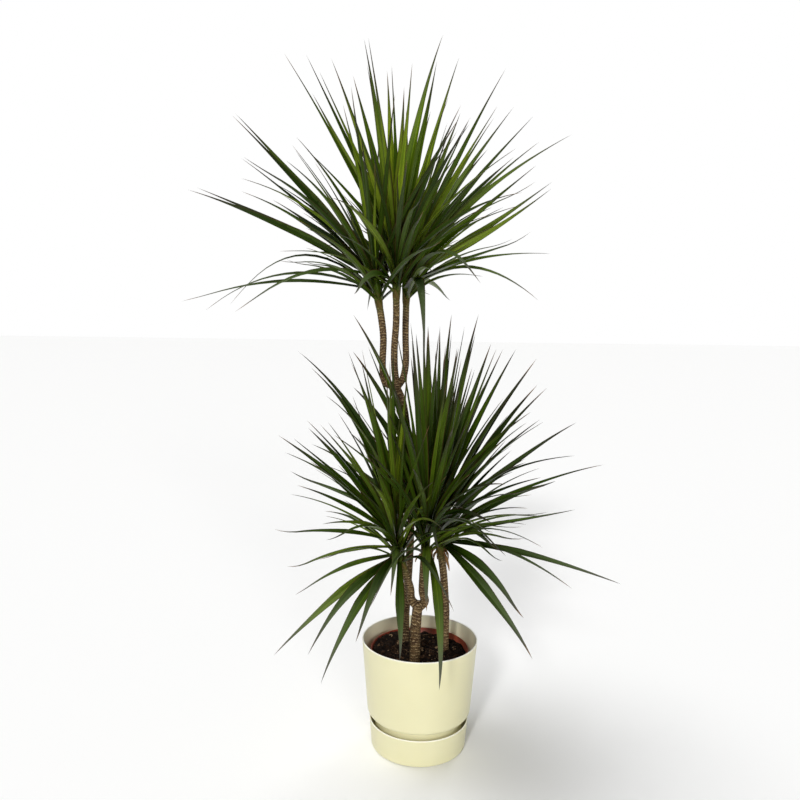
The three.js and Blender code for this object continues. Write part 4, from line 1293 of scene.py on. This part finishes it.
def apart(leaf, others, first, clearance, keel):
    # whether a leaf stays clear of what is already placed, held as arrays
    if others is None:
        return True
    own = gathered([leaf], first)
    gap = gapBetween(own["from"][:, None], own["to"][:, None], others["from"], others["to"])
    distance = np.linalg.norm(gap, axis=-1)
    way = gap / np.maximum(distance, 1e-9)[..., None]
    sides, faces = own["sides"][:, :, None], own["faces"][:, :, None]
    needed = reach(way, own["half"][:, None], sides, faces, keel) + clearance
    if "radius" in others:
        needed = needed + others["radius"]
    else:
        needed = needed + reach(way, others["half"], others["sides"][:, None], others["faces"][:, None], keel)
    return not np.any(distance < needed)


def gathered(leaves, first):
    # the stretches of many leaves as arrays, from a given stretch of each onwards
    if not leaves:
        return None
    starts, ends = slice(first - 1, -1), slice(first, None)
    both = {key: np.array([np.concatenate([leaf[key][part] for leaf in leaves]) for part in (starts, ends)])
            for key in ("point", "side", "face", "width")}
    return {"from": both["point"][0], "to": both["point"][1], "sides": both["side"], "faces": both["face"],
            "half": both["width"].max(axis=0) / 2}


def rodArrays(rods):
    starts, ends, radii = zip(*rods)
    return {"from": np.array(starts), "to": np.array(ends), "radius": np.array(radii)}


def firstClear(leafAt, rods, placed, name, plan):
    # tries a leaf in its place and then 1, -1, 2, -2 and more steps aside, until it keeps clear of everything
    strangers = [leaf for other in placed if other != name for leaf in placed[other]]
    first = plan["first"]
    obstacles = [rods, gathered(strangers, first[1]), gathered(placed[name], first[2])]
    for attempt in range(plan["attempts"]):
        leaf = leafAt((1 if attempt % 2 else -1) * math.ceil(attempt / 2))
        leaf.update(stretchesOf(leaf, leafPlan))
        if all(apart(leaf, *test, plan["keel"]) for test in zip(obstacles, first, plan["clearances"])):
            return [leaf]
    return []


def placeLeaves(heads, plan):
    # every head in turn takes its next leaf; one that would meet a cane or another head's leaf is bent clear
    sheaths = {}
    for name, head in heads.items():
        foot, axis = footAndAxis(head)
        sheaths[name] = (foot, foot + axis * sheathPlan["guardLength"], sheathPlan["guardRadius"])
    rods = {}
    for name in heads:
        rods[name] = rodArrays(capsules + [sheath for other, sheath in sheaths.items() if other != name])
    queues = {name: wantedLeaves(head, plan) for name, head in heads.items()}
    placed = {name: [] for name in heads}
    for i in range(plan["perHead"]):
        for name, head in heads.items():

            def leafAt(step, head=head, leaf=queues[name][i]):
                tip = leaf["tip"] + leaf["nudge"](step)
                return {**leaf, "tip": tip, "root": leafRoot(head, tip, plan)}

            placed[name] += firstClear(leafAt, rods[name], placed, name, plan)
    return placed


# The skirt of older leaves round the foot of each head, the crown of upright ones in the lower heads, and the
# withered ones that hang below two of them.
skirtPlan = {
    "heads": list(headPlan),
    "seedStep": 300,
    "count": 30,
    "slim": 0.7,
    "towardsSlimmer": 0.14,
    "length": (240, 400),
    "width": (0.7, 1.0),
    "lean": (26, 88),  # degrees from upright, first to last
    "jitter": 12,
    "rise": (34, 3),  # height of their roots above the head's foot
    "springs": 14,
    "bow": (0.06, 0.26),
    "turn": (-0.6, 0.6),
    "seedTurn": 1.7,
    "shift": 0.11,
    "sideShorter": 0.3,
    "sideSteeper": 14,
    "sink": 3.5,
    "keel": 1.0,
    "clearances": (0.3, 0.3, 0.2),
    "first": (2, 1, 3),
    "attempts": 14,
}
crownPlan = {
    **skirtPlan,
    "heads": ["low_left", "low_middle", "low_right"],
    "seedStep": 350,
    "count": 18,
    "slim": 0.92,
    "length": (340, 480),
    "width": (0.8, 1.05),
    "lean": (3, 30),
    "rise": (72, 40),
    "bow": (0.0, 0.07),
    "sideShorter": 0.1,
}
witheredPlan = {
    "counts": {"low_right": 8, "low_middle": 4},
    "seedStep": 400,
    "turnStep": 2.4,
    "turnSpread": 2,
    "length": (16, 48),
    "lean": (150, 176),
    "rise": (1, 12),
    "out": 7.2,
    "bow": 0.22,
    "width": (7, 11),
    "turn": (-0.3, 0.3),
    "withered": (0.75, 1.0),
}


def outwardAt(heading):
    return np.array([math.cos(heading), math.sin(heading), 0.0])


def leaningWay(outward, span, lean, springs=0):
    return outward * span * math.sin(lean) + np.array([0, 0, span * math.cos(lean) + springs])


def addSkirt(heads, placed, plan):
    # further leaves from the foot of each head, kept clear of canes and of every other leaf
    rods = rodArrays(capsules)
    for name in plan["heads"]:
        seed = heads[name]["seed"]
        foot, axis = footAndAxis(heads[name])
        dice = np.random.default_rng(seed + plan["seedStep"])
        for i in range(plan["count"]):
            share = (i + 0.5) / plan["count"]
            length, jitter, width, turn = dice.random(4)
            span, loose = between(plan["length"], length), plan["jitter"] * (jitter - 0.5)
            root = foot + axis * between(plan["rise"], share)
            leaf = {
                "bow": between(plan["bow"], share),
                "full": leafPlan["width"] * between(plan["width"], width),
                "turn": between(plan["turn"], turn),
            }

            def leafAt(step, i=i, share=share, span=span, loose=loose, root=root, leaf=leaf):
                heading = spiralPlan["goldenAngle"] * i + seed * plan["seedTurn"] + plan["shift"] * step
                sideways = math.cos(heading) ** 2
                steeper, shorter = plan["sideSteeper"] * sideways * share, plan["sideShorter"] * sideways
                lean = math.radians(between(plan["lean"], share) + loose - steeper)
                outward = outwardAt(heading)
                return {
                    **leaf,
                    "tip": foot + leaningWay(outward, span * (1 - shorter), lean, plan["springs"]),
                    "root": root + unit(outward - axis * np.dot(outward, axis)) * plan["sink"],
                    "lean": math.degrees(lean),
                    "slim": plan["slim"] - plan["towardsSlimmer"] * max(0.0, -outward[1]),
                }

            placed[name] += firstClear(leafAt, rods, placed, name, plan)


def addWithered(heads, placed, plan):
    # short dry leaf bases that hang against the stem under a head
    for name, count in plan["counts"].items():
        foot, axis = footAndAxis(heads[name])
        dice = np.random.default_rng(heads[name]["seed"] + plan["seedStep"])
        for i in range(count):
            outward = outwardAt(plan["turnStep"] * i + plan["turnSpread"] * dice.random())
            lean = math.radians(between(plan["lean"], dice.random()))
            span = between(plan["length"], dice.random())
            root = foot + axis * between(plan["rise"], dice.random()) + outward * plan["out"]
            placed[name].append({
                "root": root,
                "tip": root + leaningWay(outward, span, lean),
                "bow": plan["bow"],
                "full": between(plan["width"], dice.random()),
                "turn": between(plan["turn"], dice.random()),
                "withered": between(plan["withered"], dice.random()),
                "lean": 90,
                "slim": 1,
            })


leafLook = {
    "stations": 16,
    "crowding": 1.12,  # above 1 they lie closer together towards the tip
    "rootShare": 0.42,  # width of a leaf's neck as a share of its full width
    "clasp": 0.35,  # how much broader it is where it clasps the stem
    "claspTo": 0.03,
    "share": 0.92,  # its full width against the solid blade's
    "fullFrom": 0.42,
    "fullTo": 0.44,
    "taper": 1.35,  # above 1 the tip runs out long and thin
    "whip": 1.7,  # mm of width that stay on almost to the tip
    "whipPower": 0.3,
    "thickness": (1.125, 0.45),  # from root to tip
    "fold": (0.8, 0.42),  # rise of the edges above the groove near the root and near the tip, per half width
    "foldTo": 0.7,
    "cup": 0.9,  # mm by which the edges rise more at the root
    "cupTo": 0.1,
    "shoulder": 0.52,  # place of the shoulders as a share of the half width
    "shoulderRise": 0.44,  # and their height as a share of the fold
    "curl": 0.12,  # radians of extra turn towards the tip
    "wave": 1.6,  # mm of sideways sway
    "flick": 15,  # mm that the tip of a spreading leaf may turn up
    "flickFrom": 0.82,
    "spreading": 25,  # degrees from level within which a leaf counts as spreading
    # where each strip of the pattern starts and ends, from the left edge round the underside and back on top
    "uLeft": (0.999, 0.75, 0.499, 0.37, 0.25, 0.13),
    "uRight": (0.75, 0.501, 0.37, 0.25, 0.13, 0.001),
}


def column(leaves, key, missing=None):
    # one value of every leaf
    return np.array([leaf.get(key, missing) for leaf in leaves], float)


def slimWidth(t, full, look):
    # a neck that opens to the full width, then a long taper with x running from fullTo to the tip:
    # full opening (1 - x)^taper + whip (1 - x)^whipPower
    opening = look["rootShare"] + (1 - look["rootShare"]) * smoothStep(t / look["fullFrom"])
    opening = opening + look["clasp"] * np.exp(-((t / look["claspTo"]) ** 2))
    left = 1 - np.clip((t - look["fullTo"]) / (1 - look["fullTo"]), 0, 1)
    return look["share"] * full * opening * left ** look["taper"] + look["whip"] * left ** look["whipPower"]


def leafSkin(leaves, look, dice):
    # For all leaves at once: ring(t) holds six points, left edge, keel, right edge, right shoulder, groove
    # and left shoulder, set out across the path by the leaf's width at t, and the tip closes in one point.
    count, stations, sides = len(leaves), look["stations"], 6
    t = (1 - (1 - np.linspace(0, 1, stations)[None]) ** look["crowding"]) * np.ones((count, 1))
    turn = column(leaves, "turn")[:, None] + look["curl"] * (dice.random((count, 1)) - 0.5) * 2 * t ** 2
    point, side, face = leafCurve(*(column(leaves, key) for key in ("root", "tip", "bow")), turn, t)
    chance = dice.random((count, 1))
    sway = look["wave"] * np.sin(np.pi * t) * np.sin(5 * t + anyTurn * chance)
    # the last bit of a spreading leaf flicks up again
    spreads = (np.abs(column(leaves, "lean") - 90) < look["spreading"])[:, None]
    last = np.clip(t - look["flickFrom"], 0, 1) / (1 - look["flickFrom"])
    flick = look["flick"] * chance * spreads * last ** 2
    point = point + side * sway[..., None] + flick[..., None] * np.array([0, 0, 1])
    half = slimWidth(t, (column(leaves, "full") * column(leaves, "slim"))[:, None], look) / 2
    cup = look["cup"] * np.exp(-((t / look["cupTo"]) ** 2))
    fold = half * between(look["fold"], smoothStep(t / look["foldTo"])) + cup
    shoulder = fold * look["shoulderRise"] + 0.1
    rise = np.stack([fold, -between(look["thickness"], t), fold, shoulder, 0 * fold, shoulder], axis=-1)
    out = half[..., None] * np.array([-1, 0, 1, look["shoulder"], 0, -look["shoulder"]])
    rings = point[:, :, None] + side[:, :, None] * out[..., None] + face[:, :, None] * rise[..., None]
    points = np.concatenate([rings[:, :-1].reshape(count, -1, 3), point[:, -1:]], axis=1)
    each = (stations - 1) * sides + 1
    tip = fan(each - 1, (stations - 2) * sides, sides)
    faces = [tubeFaces(stations - 1, sides), tip, np.arange(sides)[::-1][None]]
    uLeft, uRight, v = np.array(look["uLeft"]), np.array(look["uRight"]), t[0]

    def strips(i, j, ring, strip):
        return np.where(j == strip, uLeft[strip], uRight[strip]), v[i]

    tipCorners = [((uLeft + uRight) / 2, 1), (uLeft, v[-2]), (uRight, v[-2])]
    tipUv = np.stack([np.stack([u, np.full(sides, end)], axis=-1) for u, end in tipCorners], axis=1)
    uv = [tubeUv(stations - 1, sides, strips), tipUv, np.full((1, sides, 2), [0.75, 0])]
    # both edges, the keel and the groove are sharp
    crease = np.append(np.tile([1, 2, 3, 0, 4, 0], stations - 1), 0)
    return {
        "points": points.reshape(-1, 3),
        "faces": [repeated(some, count, each) for some in faces],
        "uv": [np.tile(some, (count, 1, 1)) for some in uv],
        "crease": np.tile(crease, count),
    }


def sheathSkin(head, plan):
    # tube(s, a) = foot + axis up(s) + radius(s) (1 + scales) (across cos a + back sin a). Three leaf bases
    # clasp it side by side, so the leaf pattern is laid round it three times, twisting as it rises.
    foot, axis = footAndAxis(head)
    rows, sides, bases = plan["rows"], plan["sides"], plan["bases"]
    s, a = np.linspace(0, 1, rows)[:, None], evenAngles(sides)
    grip = head["stem"] * plan["grip"][0] + plan["grip"][1]
    radius = np.interp(s, np.linspace(0, 1, 4), [grip, *plan["radii"]])
    relief, phase, start = plan["scales"]
    scales = relief * np.abs(np.sin(bases / 2 * a + phase * s)) * np.minimum(1, start * s) * (1 - s)
    hem = plan["hem"] * np.cos(bases * a + 0.6 * np.sin(a) + head["seed"]) * (1 - s) ** plan["hemFade"]
    across = unit(np.array([1.0, 0, 0]) - axis * axis[0])
    outward = across * np.cos(a)[:, None] + np.cross(axis, across) * np.sin(a)[:, None]
    up = plan["length"] * s - plan["overlap"] * (1 - s) - hem
    points = foot + axis * up[..., None] + (radius * (1 + scales))[..., None] * outward

    def turns(i, j):
        return bases * j / sides + plan["twist"] * i / rows

    def clasping(i, j, row, side):
        (u, width), (v, height) = plan["pattern"]
        base = np.floor(turns(row + 0.5, side + 0.5))
        return u + width * np.clip(turns(i, j) - base, 0, 1), v + height * i / rows

    return {
        "points": points.reshape(-1, 3),
        "faces": [tubeFaces(rows, sides), tubeEnds(rows, sides)],
        "uv": [tubeUv(rows, sides, clasping), np.full((2, sides, 2), [0.25, 0.1])],
        "crease": endRings(rows, sides),
    }


headLook = {
    "ageFrom": 4,  # degrees of lean at which a leaf starts to look grown, and over how many more
    "ageRun": 27,
    "ageChance": 0.16,
    "hangFrom": 50,
    "hangRun": 45,
    "paintedUprightShade": 0.65,  # painted shade: how much darker the upright leaves of an aged head are drawn, standing in for the shade of the heads above
    "dryness": (-0.4, 1.1),
    "sheath": {"tint": 0.5, "age": 0.7, "hang": 0, "dryness": 0},
}


def makeHead(name, head, leaves, look):
    dice = np.random.default_rng(head["seed"] + 100)
    blades = leafSkin(leaves, {**leafLook, "taper": head.get("taper", leafLook["taper"])}, dice)
    count, agedAndShaded = len(leaves), head.get("agedAndShaded", 0)
    lean, tone = column(leaves, "lean"), column(leaves, "tone", math.nan)
    grown = smoothStep((lean - look["ageFrom"]) / look["ageRun"])
    age = between((grown, dice.random(count)), look["ageChance"])
    hang = smoothStep((lean - look["hangFrom"]) / look["hangRun"])
    # painted shade: the upright leaves of the aged, lower heads are drawn darker
    tint = dice.random(count) * (1 - look["paintedUprightShade"] * agedAndShaded * (1 - hang))
    values = {
        "tint": np.where(np.isnan(tone), tint, tone),
        "age": between((age, 1), agedAndShaded),
        "hang": hang,
        "dryness": np.clip(between(look["dryness"], dice.random(count)), 0, 1),
        "withered": column(leaves, "withered", 0),
    }
    each = len(blades["points"]) // count
    blades["values"] = {key: np.repeat(numbers, each) for key, numbers in values.items()}
    sheath = sheathSkin(head, sheathPlan)
    # the sheath's foot is patched with brown
    row, side = np.divmod(np.arange(len(sheath["points"])), sheathPlan["sides"])
    brown = np.clip(1.15 - row / 9 + 0.45 * np.sin(side * 1.31 + row * 0.9), 0, 1) / 2
    sheath["values"] = {key: np.full(len(row), number) for key, number in look["sheath"].items()}
    sheath["values"]["withered"] = brown
    meshPiece("head_" + name, merged([blades, sheath]), leafFinish, ["head_" + name])


placedLeaves = placeLeaves(headPlan, leafPlan)
addSkirt(headPlan, placedLeaves, skirtPlan)
addSkirt(headPlan, placedLeaves, crownPlan)
addWithered(headPlan, placedLeaves, witheredPlan)
for name, head in headPlan.items():
    makeHead(name, head, placedLeaves[name], headLook)
print("leaf heads grown:", {name: len(leaves) for name, leaves in placedLeaves.items()})

studio = {
    "floorHalf": 60.0,
    "floor": {"Base Color": (0.96, 0.96, 0.955), "Roughness": 0.9, "Specular IOR Level": 0.1},
    "skySeen": 1.0,
    "skyLight": 0.13,
    "suns": {  # where each comes from, its strength and its softness in degrees
        "upperLight": ((-0.4, 0.1, 1.2), 1.72, 30),
        "frontLight": ((-0.3, -1.0, 0.58), 1.42, 7),
        "lowLight": ((0.3, -1.0, 0.24), 1.02, 20),
        "backLight": ((0.6, 1.0, 0.9), 0.45, 20),
    },
}


def makeFloor(plan):
    mesh = bpy.data.meshes.new("studioFloor")
    half = plan["floorHalf"]
    corners = [(x * half, y * half, 0) for x, y in ((-1, -1), (1, -1), (1, 1), (-1, 1))]
    mesh.from_pydata(corners, [], [(0, 1, 2, 3)])
    mesh.materials.append(Finish("paleFloor", plan["floor"]).material)
    floor = bpy.data.objects.new("studioFloor", mesh)
    bpy.context.scene.collection.objects.link(floor)


def addSun(name, place, power, softness):
    lamp = bpy.data.lights.new(name, "SUN")
    lamp.energy = power
    lamp.angle = math.radians(softness)
    light = bpy.data.objects.new(name, lamp)
    azimuth = math.atan2(-place[1], -place[0]) - math.pi / 2
    tilt = math.radians(leanOf(np.array(place, float)))
    turn = Matrix.Rotation(azimuth, 4, "Z") @ Matrix.Rotation(tilt, 4, "X")
    light.matrix_world = Matrix.Translation(place) @ turn
    bpy.context.scene.collection.objects.link(light)


def makeSky(plan):
    # white where the camera sees it, and much dimmer as a light
    world = bpy.data.worlds.new("studioSky")
    world.use_nodes = True
    nodes, links = world.node_tree.nodes, world.node_tree.links
    sky = nodes["Background"].inputs
    sky["Color"].default_value = (1, 1, 1, 1)
    strength = nodes.new("ShaderNodeMix")
    links.new(nodes.new("ShaderNodeLightPath").outputs["Is Camera Ray"], strength.inputs[0])
    strength.inputs[2].default_value = plan["skyLight"]
    strength.inputs[3].default_value = plan["skySeen"]
    links.new(strength.outputs[0], sky["Strength"])
    bpy.context.scene.world = world
    bpy.context.scene.view_settings.view_transform = "Standard"


makeFloor(studio)
for name, sun in studio["suns"].items():
    addSun(name, *sun)
makeSky(studio)
print("studio lit")
